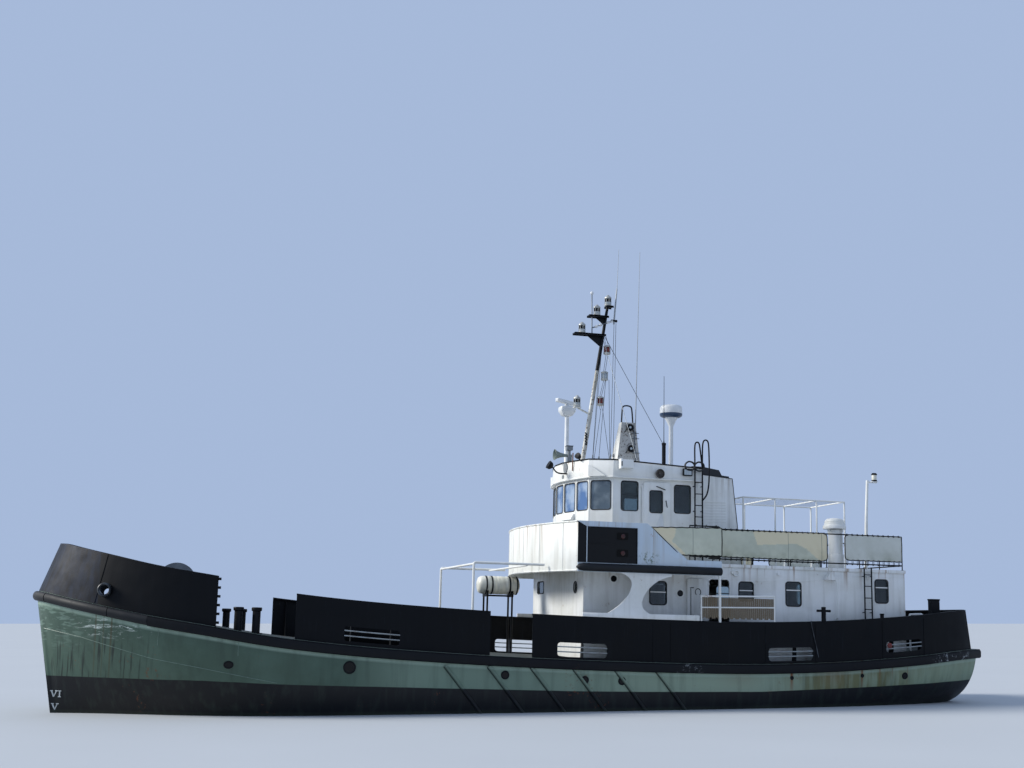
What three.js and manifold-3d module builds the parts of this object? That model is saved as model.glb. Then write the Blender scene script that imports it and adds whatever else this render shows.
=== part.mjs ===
// Fleet tender, a small steel harbour ship, at full size.
// Millimetres. +X runs aft, +Y to starboard, +Z up. The origin is on the centreline amidships,
// at the waterline. The ship floats 1.36 degrees down by the stern; keel and decks are level here.
import * as THREE from 'three';
import { mergeVertices } from 'three/addons/utils/BufferGeometryUtils.js';
import Module from 'manifold-3d';

const wasm = await Module();
wasm.setup();

// Driving dimensions
const GAP = 0.3; // clearance where two pieces touch
const PLATE = 50; // thickness of a bulwark or deckhouse wall
const STRAKE_DEPTH = 240; // vertical top strake that the belting lies on
const BELTING_WIDTH = 120;
const BULWARK_HEIGHT = 1050;
const FORE_BULWARK_HEIGHT = 1165;
const CAMBER = 50;
const KEEL_BOTTOM = -1730;
const KEEL_HALF_WIDTH = 70;
const HEEL = 80; // depth of the heel under the rudder
const HOUSE = { front: 990, aft: 10045, half: 2300, top: 3660 };
const ROOF = { bottom: 3660 + GAP, top: 3744, lip: 30 };
const WING = { front: 580, aft: 4400, half: 3100, bulge: 700, screenLow: 3395, screenHigh: 4640 };
const CABIN = { low: 3744 + GAP, top: 5870, half: 1980, wall: 55 };
const VISOR = { low: 5870 + GAP, highFront: 6390, highAft: 6240, front: 950, aft: 4330 };
const SHAFT = { z: -1130, radius: 40, boss: 110, front: 8900, aft: 9380 };
const PROPELLER = { hub: 95, x: 9560, blades: 4 };
const RUDDER = { x: 10200, fore: 9960, aft: 10860, low: -1600, high: -640, stock: 55 };

const SLOT = {
  hullPaint: { color: 0x5c776b, roughness: 0.5, metalness: 0 },
  blackPaint: { color: 0x0f151d, roughness: 0.45, metalness: 0 },
  whitePaint: { color: 0xdfe3e6, roughness: 0.45, metalness: 0 },
  greyPaint: { color: 0x39414c, roughness: 0.5, metalness: 0 },
  rubber: { color: 0x16181b, roughness: 0.6, metalness: 0 },
  bronze: { color: 0x9a7440, roughness: 0.35, metalness: 1 },
  canvas: { color: 0x8f9a93, roughness: 0.9, metalness: 0 },
  reed: { color: 0x8d8273, roughness: 0.9, metalness: 0 },
  plastic: { color: 0xe4e6e4, roughness: 0.35, metalness: 0 },
};

// Solid and mesh helpers
function solid(geometry) {
  const plain = geometry.index ? geometry.toNonIndexed() : geometry.clone();
  for (const name of Object.keys(plain.attributes)) {
    if (name !== 'position') plain.deleteAttribute(name);
  }
  const merged = mergeVertices(plain, 0.001);
  return new wasm.Manifold(new wasm.Mesh({
    numProp: 3,
    vertProperties: new Float32Array(merged.attributes.position.array),
    triVerts: new Uint32Array(merged.index.array),
  }));
}

function join(solids) {
  return solids.reduce((whole, next) => whole.add(next));
}

function cut(body, cutters) {
  return cutters.reduce((left, next) => left.subtract(next), body);
}

function mirrored(body) {
  return body.mirror([0, 1, 0]);
}

const group = new THREE.Group();

function place(name, body, slot) {
  const shape = body.getMesh();
  const geometry = new THREE.BufferGeometry();
  geometry.setAttribute('position', new THREE.BufferAttribute(new Float32Array(shape.vertProperties), 3));
  geometry.setIndex(new THREE.BufferAttribute(new Uint32Array(shape.triVerts), 1));
  geometry.computeVertexNormals();
  const mesh = new THREE.Mesh(geometry, new THREE.MeshStandardMaterial(SLOT[slot]));
  mesh.name = name;
  group.add(mesh);
}

function placePair(name, body, slot) {
  place(`${name}_port`, body, slot);
  place(`${name}_starboard`, mirrored(body), slot);
}

function block(x0, x1, y0, y1, z0, z1) {
  const geometry = new THREE.BoxGeometry(x1 - x0, y1 - y0, z1 - z0);
  geometry.translate((x0 + x1) / 2, (y0 + y1) / 2, (z0 + z1) / 2);
  return solid(geometry);
}

// A plan outline of [x, y] points, raised from z0 to z1
function raise(points, z0, z1) {
  const shape = new THREE.Shape(points.map(([x, y]) => new THREE.Vector2(x, y)));
  const geometry = new THREE.ExtrudeGeometry(shape, { depth: z1 - z0, bevelEnabled: false });
  geometry.translate(0, 0, z0);
  return solid(geometry);
}

// A side outline, a shape in x and z, extruded from y0 to y1
function acrossShape(shape, y0, y1, curveSegments = 8) {
  const geometry = new THREE.ExtrudeGeometry(shape, { depth: y1 - y0, bevelEnabled: false, curveSegments });
  geometry.rotateX(Math.PI / 2);
  geometry.translate(0, y1, 0);
  return solid(geometry);
}

function across(points, y0, y1) {
  return acrossShape(new THREE.Shape(points.map(([x, z]) => new THREE.Vector2(x, z))), y0, y1);
}

// A round rod between two points
function rod(from, to, radius, sides = 8, endRadius = radius) {
  const a = new THREE.Vector3(...from);
  const b = new THREE.Vector3(...to);
  const geometry = new THREE.CylinderGeometry(endRadius, radius, a.distanceTo(b), sides);
  const direction = b.clone().sub(a).normalize();
  geometry.applyQuaternion(new THREE.Quaternion().setFromUnitVectors(new THREE.Vector3(0, 1, 0), direction));
  geometry.translate(...a.add(b).multiplyScalar(0.5).toArray());
  return solid(geometry);
}

// Rods through a chain of points
function pipe(points, radius, sides = 6) {
  return join(points.slice(1).map((point, i) => rod(points[i], point, radius, sides)));
}

// A tube bent smoothly through points
function bentTube(points, radius, steps = 16) {
  const ring = new THREE.Shape(Array.from({ length: 6 }, (_, i) => new THREE.Vector2(
    radius * Math.cos((i * Math.PI) / 3),
    radius * Math.sin((i * Math.PI) / 3),
  )));
  const path = new THREE.CatmullRomCurve3(points.map((point) => new THREE.Vector3(...point)));
  return solid(new THREE.ExtrudeGeometry(ring, { extrudePath: path, steps, bevelEnabled: false }));
}

// A turned piece about a vertical axis at [x, y]: profile of [radius, z] from axis to axis
function turned(profile, x, y, sides = 20) {
  const geometry = new THREE.LatheGeometry(profile.map(([r, z]) => new THREE.Vector2(r, z)), sides);
  geometry.rotateX(Math.PI / 2);
  geometry.translate(x, y, 0);
  return solid(geometry);
}

// A closed body through sections with like points, capped at both ends
function loft(sections) {
  const position = sections.flat(2);
  const n = sections[0].length;
  const index = [];
  for (let i = 0; i + 1 < sections.length; i += 1) {
    for (let j = 0; j < n; j += 1) {
      const a = i * n + j;
      const b = i * n + ((j + 1) % n);
      index.push(a, b, a + n, b, b + n, a + n);
    }
  }
  const last = (sections.length - 1) * n;
  for (let j = 1; j + 1 < n; j += 1) {
    index.push(0, j + 1, j, last, last + j, last + j + 1);
  }
  const geometry = new THREE.BufferGeometry();
  geometry.setAttribute('position', new THREE.Float32BufferAttribute(position, 3));
  geometry.setIndex(index);
  let volume = 0;
  const p = (k) => new THREE.Vector3().fromArray(position, index[k] * 3);
  for (let k = 0; k < index.length; k += 3) volume += p(k).dot(p(k + 1).cross(p(k + 2)));
  if (volume < 0) geometry.setIndex(index.reverse());
  return solid(geometry);
}

// Hull. Columns: x at the deck edge, half-breadth and height there, lowest point of the section,
// fullness of the section, and how far x leans for each millimetre of height below the strake.
const HULL_ROWS = [
  [-12150, 90, 2600, -760, 1.0, -0.184],
  [-12050, 440, 2585, -1080, 0.72, -0.184],
  [-11850, 800, 2545, -1330, 0.76, -0.184],
  [-11400, 1270, 2440, -1500, 0.84, -0.17],
  [-10650, 1860, 2285, -1590, 0.98, -0.14],
  [-9600, 2360, 2085, -1620, 1.22, -0.1],
  [-8300, 2740, 1890, -1630, 1.6, -0.05],
  [-6500, 2980, 1635, -1630, 2.1, -0.02],
  [-4200, 3060, 1445, -1630, 2.5, 0],
  [-1000, 3080, 1300, -1630, 2.7, 0],
  [2200, 3080, 1228, -1620, 2.7, 0],
  [5200, 3070, 1222, -1550, 2.5, 0],
  [7500, 3020, 1305, -1180, 2.25, 0],
  [9200, 2930, 1430, -640, 2.1, 0],
  [10300, 2800, 1530, -370, 2.1, 0],
  [11200, 2630, 1635, -150, 2.2, 0.08],
  [11800, 2430, 1690, 20, 2.3, 0.15],
  [12160, 2260, 1715, 140, 2.4, 0.2],
];

function blended(rows, i, t) {
  const row = (k) => rows[Math.min(Math.max(k, 0), rows.length - 1)];
  return row(i).map((_, c) => {
    const [a, b, d, e] = [row(i - 1)[c], row(i)[c], row(i + 1)[c], row(i + 2)[c]];
    return b + 0.5 * t * (d - a + t * (2 * a - 5 * b + 4 * d - e + t * (3 * (b - d) + e - a)));
  });
}

const stations = [];
HULL_ROWS.forEach((row, i) => {
  stations.push(row);
  if (i >= 2 && i < HULL_ROWS.length - 2) stations.push(blended(HULL_ROWS, i, 0.5));
});

const SECTION_STEPS = [0, 0.04, 0.12, 0.25, 0.42, 0.6, 0.8, 1];

function hullSection([x, half, deck, low, fullness, lean]) {
  const strake = deck - STRAKE_DEPTH - 20;
  const starboard = SECTION_STEPS.map((f) => {
    const breadth = half * (1 - (1 - f) ** fullness) ** (1 / fullness);
    const z = low + (strake - low) * f;
    return [x + lean * (z - strake), Math.max(breadth, KEEL_HALF_WIDTH * 0.9), z];
  });
  const rim = Math.max(half - 130, half * 0.5);
  starboard.push([x, half, deck], [x, rim, deck], [x, 1, deck + CAMBER * (half / 3080)]);
  const port = starboard.map(([px, py, pz]) => [px, -py, pz]).reverse();
  return [...starboard, ...port];
}

function edgeAt(x) {
  let i = stations.findIndex((row) => row[0] >= x);
  i = Math.max(i, 1);
  const [a, b] = [stations[i - 1], stations[i]];
  const t = (x - a[0]) / (b[0] - a[0]);
  return [x, -(a[1] + t * (b[1] - a[1])), a[2] + t * (b[2] - a[2])];
}

// Deck edge points on the port side from x0 aft to x1
function portEdge(x0, x1) {
  const between = stations.filter((row) => row[0] > x0 + 1 && row[0] < x1 - 1);
  return [edgeAt(x0), ...between.map(([x, half, deck]) => [x, -half, deck]), edgeAt(x1)];
}

function flipped(points) {
  return points.map(([x, y, z]) => [x, -y, z]).reverse();
}

// A section of [outward, up] corners carried along deck edge points; outward is to the right hand
// of the way the points run, as port points do when they run aft
function carried(points, section, lean = () => 0) {
  const normals = points.slice(1).map((b, i) => {
    const a = points[i];
    const length = Math.hypot(b[0] - a[0], b[1] - a[1]);
    return [(b[1] - a[1]) / length, -(b[0] - a[0]) / length];
  });
  return loft(points.map(([x, y, z], i) => {
    const n0 = normals[Math.max(i - 1, 0)];
    const n1 = normals[Math.min(i, normals.length - 1)];
    const scale = 1 / (1 + n0[0] * n1[0] + n0[1] * n1[1]);
    const miter = [(n0[0] + n1[0]) * scale, (n0[1] + n1[1]) * scale];
    return section.map(([out, up]) => [x + miter[0] * out + lean(x) * up, y + miter[1] * out, z + up]);
  }));
}

const shell = loft(stations.map(hullSection));
// Bar keel with the sternpost and the heel that carries the rudder, as a side outline
const KEEL_OUTLINE = [
  [-11150, -1200], [-10500, KEEL_BOTTOM], [10420, KEEL_BOTTOM], [10420, KEEL_BOTTOM + HEEL],
  [9300, KEEL_BOTTOM + HEEL],
  [9300, -1250], [SHAFT.aft, -1000], [SHAFT.aft, -300], [7000, -700], [-10000, -1200],
];
const keelBar = across(KEEL_OUTLINE, -KEEL_HALF_WIDTH, KEEL_HALF_WIDTH);
const shaftBoss = rod([SHAFT.front, 0, SHAFT.z], [SHAFT.aft, 0, SHAFT.z], SHAFT.boss, 16);
// Slanting rubbing bars on the side, from under the belting to below the water
const BARS = {
  count: 6, x: -2684, pitch: 1060, half: 60, run: 940,
  high: 1060, low: -60, inner: 2800, outer: 3140,
};
const bars = Array.from({ length: BARS.count }, (_, i) => BARS.x + i * BARS.pitch).map((x) => across([
  [x - BARS.half, BARS.high], [x + BARS.half, BARS.high], [x + BARS.run + BARS.half, BARS.low],
  [x + BARS.run - BARS.half, BARS.low]], -BARS.outer, -BARS.inner));
const strakeFoot = -STRAKE_DEPTH - 5;
const beltLine = carried(portEdge(-4000, 5000), [
  [-400, 400], [400, 400], [400, strakeFoot], [-400, strakeFoot],
]);
const portBars = cut(join(bars), [beltLine]);
const stockBore = rod([RUDDER.x, 0, -700], [RUDDER.x, 0, 100], RUDDER.stock + 6, 24);
const shaftBore = rod([SHAFT.front + 150, 0, SHAFT.z], [SHAFT.aft + 50, 0, SHAFT.z], SHAFT.radius + 0.9, 32);
const hullSolid = join([shell, keelBar, shaftBoss, portBars, mirrored(portBars)]);
place('hull', cut(hullSolid, [stockBore, shaftBore]), 'hullPaint');
const deckClearance = shell.translate(0, 0, GAP);

// Belting round both sides and the stern, and the rubber round the bow
const BOW_RUBBER_END = -9540;
const sternU = [...portEdge(BOW_RUBBER_END, 12160), ...flipped(portEdge(BOW_RUBBER_END, 12160))];
place('belting', carried(sternU, [[GAP, -STRAKE_DEPTH], [GAP, -20], [BELTING_WIDTH - 30, -20],
  [BELTING_WIDTH, -60], [BELTING_WIDTH, -STRAKE_DEPTH + 40], [BELTING_WIDTH - 30, -STRAKE_DEPTH]]), 'blackPaint');
const bowEdge = portEdge(-12150, BOW_RUBBER_END - 2);
const bowV = [...flipped(bowEdge), ...bowEdge];
place('bow_fender', carried(bowV, [[GAP, -230], [GAP, 0], [60, 0], [105, -35], [125, -90], [125, -140],
  [105, -195], [60, -230]]), 'rubber');

// Bulwarks: a plate with a rail along its top
function bulwark(points, height, lean) {
  return cut(carried(points, [[-2, GAP], [-2, height], [-90, height], [-90, height - 45], [-PLATE, height - 45],
    [-PLATE, GAP]], lean), [deckClearance]);
}

// Freeing ports: from x, to x, from and to above the deck. Two bars are left across each, so the
// cut is made in three slots, given as parts of its height.
const PORTS = {
  mid: [[-5090, -3790, 90, 430]],
  aft: [[100, 1360, 60, 400], [5690, 6920, 70, 400], [9090, 10180, 150, 430]],
};
const PORT_SLOTS = [[0, 0.3], [0.4, 0.65], [0.75, 1]];

function freeingPort([x0, x1, low, high]) {
  return join(PORT_SLOTS.map(([from, to]) => {
    const [z0, z1] = [from, to].map((part) => low + part * (high - low));
    return carried(portEdge(x0, x1), [[200, z0], [200, z1], [-200, z1], [-200, z0]]);
  }));
}

const FORE_END = -8040;
const foreEdge = portEdge(-12150, FORE_END);
const foreLean = (x) => 0.36 * Math.min(1, Math.max(0, (-9000 - x) / 3150));
// Ring fairlead through the forward bulwark, square to its plating
const FAIRLEAD = { x: -10600, z: 2640, outer: 165, hole: 105 };
const ring = rod([FAIRLEAD.x, -2060, FAIRLEAD.z], [FAIRLEAD.x + 60, -1740, FAIRLEAD.z], FAIRLEAD.outer, 20);
const ringHole = rod(
  [FAIRLEAD.x - 20, -2400, FAIRLEAD.z], [FAIRLEAD.x + 100, -1500, FAIRLEAD.z], FAIRLEAD.hole, 20,
);
const foreWall = bulwark([...flipped(foreEdge), ...foreEdge], FORE_BULWARK_HEIGHT, foreLean);
const ringedWall = join([foreWall, ring, mirrored(ring)]);
place('bulwark_forward', cut(ringedWall, [ringHole, mirrored(ringHole)]), 'blackPaint');

const MID = { fore: -6240, aft: -1590 };
const midWall = bulwark(portEdge(MID.fore, MID.aft), BULWARK_HEIGHT);
placePair('bulwark_mid', cut(midWall, PORTS.mid.map(freeingPort)), 'blackPaint');

const AFT_FORE = -540;
// The aft bulwark stands in from the transom and leans forward there
const AFT_END = 11970;
const aftLean = (x) => (x > AFT_END - 100 ? -0.18 : 0);
const aftEdge = portEdge(AFT_FORE, AFT_END);
const aftPorts = PORTS.aft.map(freeingPort);
const aftWall = cut(
  bulwark([...aftEdge, ...flipped(aftEdge)], BULWARK_HEIGHT, aftLean), [...aftPorts, ...aftPorts.map(mirrored)],
);
// Cross bollards welded on the aft bulwark's rail
const CROSS = { x: 7270, y: -2995, low: 2300, high: 2700, arm: 2600, reach: 190 };
const cross = join([
  rod([CROSS.x, CROSS.y, CROSS.low], [CROSS.x, CROSS.y, CROSS.high], 60, 12),
  rod([CROSS.x - CROSS.reach, CROSS.y, CROSS.arm], [CROSS.x + CROSS.reach, CROSS.y, CROSS.arm], 32, 10),
]);
place('bulwark_aft', join([aftWall, cross, mirrored(cross)]), 'blackPaint');

// Deckhouse walls with the windows and doorways cut. Columns: x0, x1, z0, z1
const HOUSE_WINDOWS = [
  [2770, 3210, 2660, 3230],
  [5230, 5620, 2820, 3290],
  [6560, 6980, 2720, 3330],
  [9160, 9530, 2870, 3470],
];
const HOUSE_PORTHOLES = [[1790, 3270, 90], [3590, 2956, 90]];
const DOORWAY = { x0: 4380, x1: 4960, low: 1480, high: 3344 };
const AFT_DOORWAY = { y0: -330, y1: 330, low: 1750, high: 3344 };

function rounded(x0, x1, z0, z1, r) {
  const shape = new THREE.Shape();
  shape.moveTo(x0 + r, z0);
  shape.lineTo(x1 - r, z0);
  shape.absarc(x1 - r, z0 + r, r, -Math.PI / 2, 0);
  shape.lineTo(x1, z1 - r);
  shape.absarc(x1 - r, z1 - r, r, 0, Math.PI / 2);
  shape.lineTo(x0 + r, z1);
  shape.absarc(x0 + r, z1 - r, r, Math.PI / 2, Math.PI);
  shape.lineTo(x0, z0 + r);
  shape.absarc(x0 + r, z0 + r, r, Math.PI, 1.5 * Math.PI);
  return shape;
}

function windowCutters(rows, y, radius) {
  return rows.map(([x0, x1, z0, z1]) => acrossShape(rounded(x0, x1, z0, z1, radius), y - 200, y + 200, 2));
}

const houseSideCutters = [
  ...windowCutters(HOUSE_WINDOWS, -HOUSE.half, 70),
  ...windowCutters([[DOORWAY.x0, DOORWAY.x1, DOORWAY.low, DOORWAY.high]], -HOUSE.half, 90),
  ...HOUSE_PORTHOLES.map(([x, z, r]) => rod([x, -HOUSE.half - 200, z], [x, -HOUSE.half + 200, z], r, 12)),
];
const FRONT_WINDOW = { y0: 1250, y1: 1850, low: 2950, high: 3260 };
const FRONT_PORTHOLE = { y: -1630, z: 3050, radius: 135 };
const inside = HOUSE.half - PLATE;
const house = cut(block(HOUSE.front, HOUSE.aft, -HOUSE.half, HOUSE.half, 1100, HOUSE.top), [
  block(HOUSE.front + PLATE, HOUSE.aft - PLATE, -inside, inside, 1000, HOUSE.top + 10),
  ...houseSideCutters,
  ...houseSideCutters.map(mirrored),
  block(HOUSE.aft - 200, HOUSE.aft + 200, AFT_DOORWAY.y0, AFT_DOORWAY.y1, AFT_DOORWAY.low, AFT_DOORWAY.high),
  block(HOUSE.front - 200, HOUSE.front + 200,
    FRONT_WINDOW.y0, FRONT_WINDOW.y1, FRONT_WINDOW.low, FRONT_WINDOW.high),
  rod([HOUSE.front - 200, FRONT_PORTHOLE.y, FRONT_PORTHOLE.z],
    [HOUSE.front + 200, FRONT_PORTHOLE.y, FRONT_PORTHOLE.z],
    FRONT_PORTHOLE.radius, 16),
  deckClearance,
]);

// Doors stand off the wall. A hinge has a pin and a strap on the leaf, and two lugs on the wall:
// the pin turns in the bores of the lugs and the strap rests on the lower one.
const DOOR = { thick: 45, play: 8, standOff: 12 };
const PIN = { radius: 14, play: 0.9, strap: 8, lug: 18, lugHeight: 60, edge: 30 };
const doorWidth = DOORWAY.x1 - DOORWAY.x0 - 2 * DOOR.play;
const standOff = DOOR.standOff + DOOR.thick / 2;
const HINGE = { x: DOORWAY.x0 - 20, y: HOUSE.half + standOff, low: 1640, high: 3180 };
const AFT_HINGE = { x: HOUSE.aft + standOff, y: AFT_DOORWAY.y1 + 70, low: 1860, high: 3230 };

function hingePin(x, y, low, high) {
  const reach = PIN.lugHeight - 10;
  return rod([x, y, low - reach], [x, y, high + reach], PIN.radius, 10);
}

// Lugs from the wall to the pin; from and to are the plan corners of the lugs
function hingeLugs(x, y, low, high, from, to) {
  const lug = (z0, z1) => block(from[0], to[0], from[1], to[1], z0, z1);
  const bore = rod([x, y, low - 200], [x, y, high + 200], PIN.radius + PIN.play, 16);
  return [cut(lug(low - PIN.lugHeight, low - GAP), [bore]), cut(lug(high + GAP, high + PIN.lugHeight), [bore])];
}

const sideLugs = hingeLugs(HINGE.x, -HINGE.y, HINGE.low, HINGE.high,
  [HINGE.x - PIN.lug, -HINGE.y - PIN.lug], [HINGE.x + PIN.lug, -HOUSE.half + 5]);
const aftLugs = hingeLugs(AFT_HINGE.x, AFT_HINGE.y, AFT_HINGE.low, AFT_HINGE.high,
  [HOUSE.aft - 5, AFT_HINGE.y - PIN.lug], [AFT_HINGE.x + PIN.lug, AFT_HINGE.y + PIN.lug]);
place('deckhouse', join([house, ...sideLugs, ...sideLugs.map(mirrored), ...aftLugs]), 'whitePaint');

// A side door about its pin: towards is -1 for a leaf forward of the pin and 1 for one aft of it
function sideDoor(y, towards) {
  const span = (a, b) => [HINGE.x + towards * a, HINGE.x + towards * b].sort((p, q) => p - q);
  const leafEnds = span(PIN.edge, PIN.edge + doorWidth);
  const leaf = rounded(...leafEnds, DOORWAY.low + DOOR.play, DOORWAY.high - DOOR.play, 82);
  const strapEnds = span(0, PIN.edge * 2);
  return join([acrossShape(leaf, y - DOOR.thick / 2, y + DOOR.thick / 2, 3),
    hingePin(HINGE.x, y, HINGE.low, HINGE.high),
    block(...strapEnds, y - PIN.strap, y + PIN.strap, HINGE.low, HINGE.high)]);
}
place('deckhouse_door_port', sideDoor(-HINGE.y, -1), 'whitePaint');
place('deckhouse_door_starboard', sideDoor(HINGE.y, 1), 'whitePaint');
const LAP = 30; // how far a leaf that shuts against a wall laps over the opening's edge
const aftLeaf = block(AFT_HINGE.x - DOOR.thick / 2, AFT_HINGE.x + DOOR.thick / 2, AFT_DOORWAY.y0 - LAP,
  AFT_DOORWAY.y1 + LAP, AFT_DOORWAY.low - LAP, AFT_DOORWAY.high + LAP);
const aftStrap = block(AFT_HINGE.x - PIN.strap, AFT_HINGE.x + PIN.strap, AFT_DOORWAY.y1, AFT_HINGE.y,
  AFT_HINGE.low, AFT_HINGE.high);
const aftPin = hingePin(AFT_HINGE.x, AFT_HINGE.y, AFT_HINGE.low, AFT_HINGE.high);
place('deckhouse_door_aft', join([aftLeaf, aftPin, aftStrap]), 'whitePaint');

// Deckhouse roof, which is the bridge deck, with its wings
function bowedFront(inset) {
  const half = WING.half - inset;
  const steps = 14;
  return Array.from({ length: steps + 1 }, (_, i) => {
    const y = half - (2 * half * i) / steps;
    return [WING.front + inset - WING.bulge * (1 - (y / half) ** 2), y];
  });
}

const deckInset = PLATE + GAP;
const roofOutline = [...bowedFront(deckInset), [WING.aft, -WING.half + deckInset],
  [WING.aft, -HOUSE.half - ROOF.lip], [HOUSE.aft + 20, -HOUSE.half - ROOF.lip],
  [HOUSE.aft + 20, HOUSE.half + ROOF.lip],
  [WING.aft, HOUSE.half + ROOF.lip], [WING.aft, WING.half - deckInset]];
place('bridge_deck', raise(roofOutline, ROOF.bottom, ROOF.top), 'whitePaint');

// Bridge screen: the white weather screen round the front and both wings
const screenInner = WING.half - PLATE;
const screenBack = [[WING.aft, -WING.half], [WING.aft, -screenInner], [WING.front + PLATE, -screenInner]];
const screenPlan = [...bowedFront(0), ...screenBack, ...bowedFront(PLATE).slice(1, -1).reverse(),
  [WING.front + PLATE, screenInner], [WING.aft, screenInner], [WING.aft, WING.half]];
const SLANT = [[2380, WING.screenHigh + 10], [3480, ROOF.top + 20]];
const pastWing = WING.aft + 50;
const screenTrim = across([...SLANT, [pastWing, SLANT[1][1]], [pastWing, SLANT[0][1]]], -4000, 4000);
place('bridge_screen', cut(raise(screenPlan, WING.screenLow, WING.screenHigh), [screenTrim]), 'whitePaint');

const WING_FENDER = { fore: 530, aft: 4380, low: 3400, high: 3605, outer: 3225 };
placePair('wing_fender', across([[WING_FENDER.fore, WING_FENDER.low], [WING_FENDER.aft, WING_FENDER.low],
  [WING_FENDER.aft, WING_FENDER.high], [WING_FENDER.fore + 30, WING_FENDER.high],
  [WING_FENDER.fore, WING_FENDER.high - 25]], -WING_FENDER.outer, -WING.half - GAP), 'rubber');

// Side screens under the wings: a raked web on a sill, with swept edges
const webShape = new THREE.Shape();
webShape.moveTo(730, 2220);
webShape.lineTo(3800, 2220);
webShape.lineTo(3800, 2400);
webShape.lineTo(2480, 2400);
webShape.quadraticCurveTo(2100, 2560, 2400, 2960);
webShape.quadraticCurveTo(2660, 3280, 3060, 3340);
webShape.lineTo(3060, WING.screenLow - GAP);
webShape.lineTo(1700, WING.screenLow - GAP);
webShape.quadraticCurveTo(2060, 3280, 1990, 3060);
webShape.quadraticCurveTo(1920, 2700, 1380, 2400);
webShape.lineTo(730, 2400);
const bulwarkTop = carried(portEdge(AFT_FORE, 8000), [[300, -400], [300, BULWARK_HEIGHT + GAP],
  [-300, BULWARK_HEIGHT + GAP], [-300, -400]]);
placePair('side_screen', cut(acrossShape(webShape, -3085, -3035, 6), [bulwarkTop]), 'whitePaint');

// Side rails: pillar under the wing's end, two rails and a slatted panel
const railY = -3060;
const sideRail = join([
  rod([WING.aft - 40, railY, 2200], [WING.aft - 40, railY, WING.screenLow - GAP], 35, 8),
  pipe([[3860, railY, 2880], [5860, railY, 2920]], 22),
  pipe([[3860, railY, 2600], [5860, railY, 2640]], 18),
  rod([3860, railY, 2200], [3860, railY, 2880], 22, 8),
  rod([5860, railY, 2200], [5860, railY, 2920], 22, 8),
  block(3880, 5840, railY + 8, railY + 20, 2345, 2860),
]);
placePair('side_rail', cut(sideRail, [bulwarkTop]), 'reed');

// Wheelhouse: faceted front, hollow, windows and doorways cut
const CABIN_PLAN = [[1030, -340], [1165, -1000], [1330, -1600], [1850, -CABIN.half], [4220, -CABIN.half]];

// The whole outline from its port half, moved inwards by an inset
function insetPlan(port, inset) {
  const half = port.map(([x, y], i) => [i === port.length - 1 ? x - inset : x + inset, i === 0 ? y : y + inset]);
  return [...half, ...half.map(([x, y]) => [x, -y]).reverse()];
}

const CABIN_SIDE_WINDOWS = [[2090, 2540, 5050, 5800], [3560, 4000, 5040, 5760]];
const CABIN_DOOR = { x0: 2710, x1: 3400, low: 3850, high: 5780 };

// Front windows: each a block turned to its facet; columns: facet corner a, facet corner b, margin
const FRONT_PANE = { z: 5430, height: 740 };
const CABIN_FRONT = [[[1030, 340], CABIN_PLAN[0], 50],
  ...CABIN_PLAN.slice(0, 3).map((corner, i) => [corner, CABIN_PLAN[i + 1], 55])];
function frontWindow([a, b, margin]) {
  const length = Math.hypot(b[0] - a[0], b[1] - a[1]) - 2 * margin;
  const geometry = new THREE.BoxGeometry(length, 300, FRONT_PANE.height);
  geometry.rotateZ(Math.atan2(b[1] - a[1], b[0] - a[0]));
  geometry.translate((a[0] + b[0]) / 2, (a[1] + b[1]) / 2, FRONT_PANE.z);
  return solid(geometry);
}

const cabinCutters = [...CABIN_FRONT.map(frontWindow), ...windowCutters(CABIN_SIDE_WINDOWS, -CABIN.half, 60),
  ...windowCutters([[CABIN_DOOR.x0, CABIN_DOOR.x1, CABIN_DOOR.low, CABIN_DOOR.high]], -CABIN.half, 80)];
const cabin = cut(raise(insetPlan(CABIN_PLAN, 0), CABIN.low, CABIN.top), [
  raise(insetPlan(CABIN_PLAN, CABIN.wall), CABIN.low - 10, CABIN.top + 10),
  ...cabinCutters,
  ...cabinCutters.map(mirrored),
]);
const CABIN_HINGE = { x: CABIN_DOOR.x0 - 60, y: -CABIN.half - 28, low: 3960, high: 5660 };
const cabinLugs = hingeLugs(CABIN_HINGE.x, CABIN_HINGE.y, CABIN_HINGE.low, CABIN_HINGE.high,
  [CABIN_HINGE.x - PIN.lug, CABIN_HINGE.y - PIN.lug], [CABIN_HINGE.x + PIN.lug, -CABIN.half + 5]);
place('wheelhouse', join([cabin, ...cabinLugs, ...cabinLugs.map(mirrored)]), 'whitePaint');

// Wheelhouse doors, shut, with a window, hung on the forward edge
const cabinDoorShape = rounded(CABIN_DOOR.x0 - LAP, CABIN_DOOR.x1 + LAP, CABIN_DOOR.low - LAP,
  CABIN_DOOR.high + LAP - 5, 90);
cabinDoorShape.holes.push(new THREE.Path(rounded(2860, 3200, 5020, 5580, 50).getPoints(3)));
placePair('wheelhouse_door', join([
  acrossShape(cabinDoorShape, CABIN_HINGE.y - DOOR.thick / 2, CABIN_HINGE.y + DOOR.thick / 2, 3),
  hingePin(CABIN_HINGE.x, CABIN_HINGE.y, CABIN_HINGE.low, CABIN_HINGE.high),
  block(CABIN_HINGE.x, CABIN_HINGE.x + 60, CABIN_HINGE.y - PIN.strap, CABIN_HINGE.y + PIN.strap,
    CABIN_HINGE.low, CABIN_HINGE.high),
]), 'whitePaint');

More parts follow.
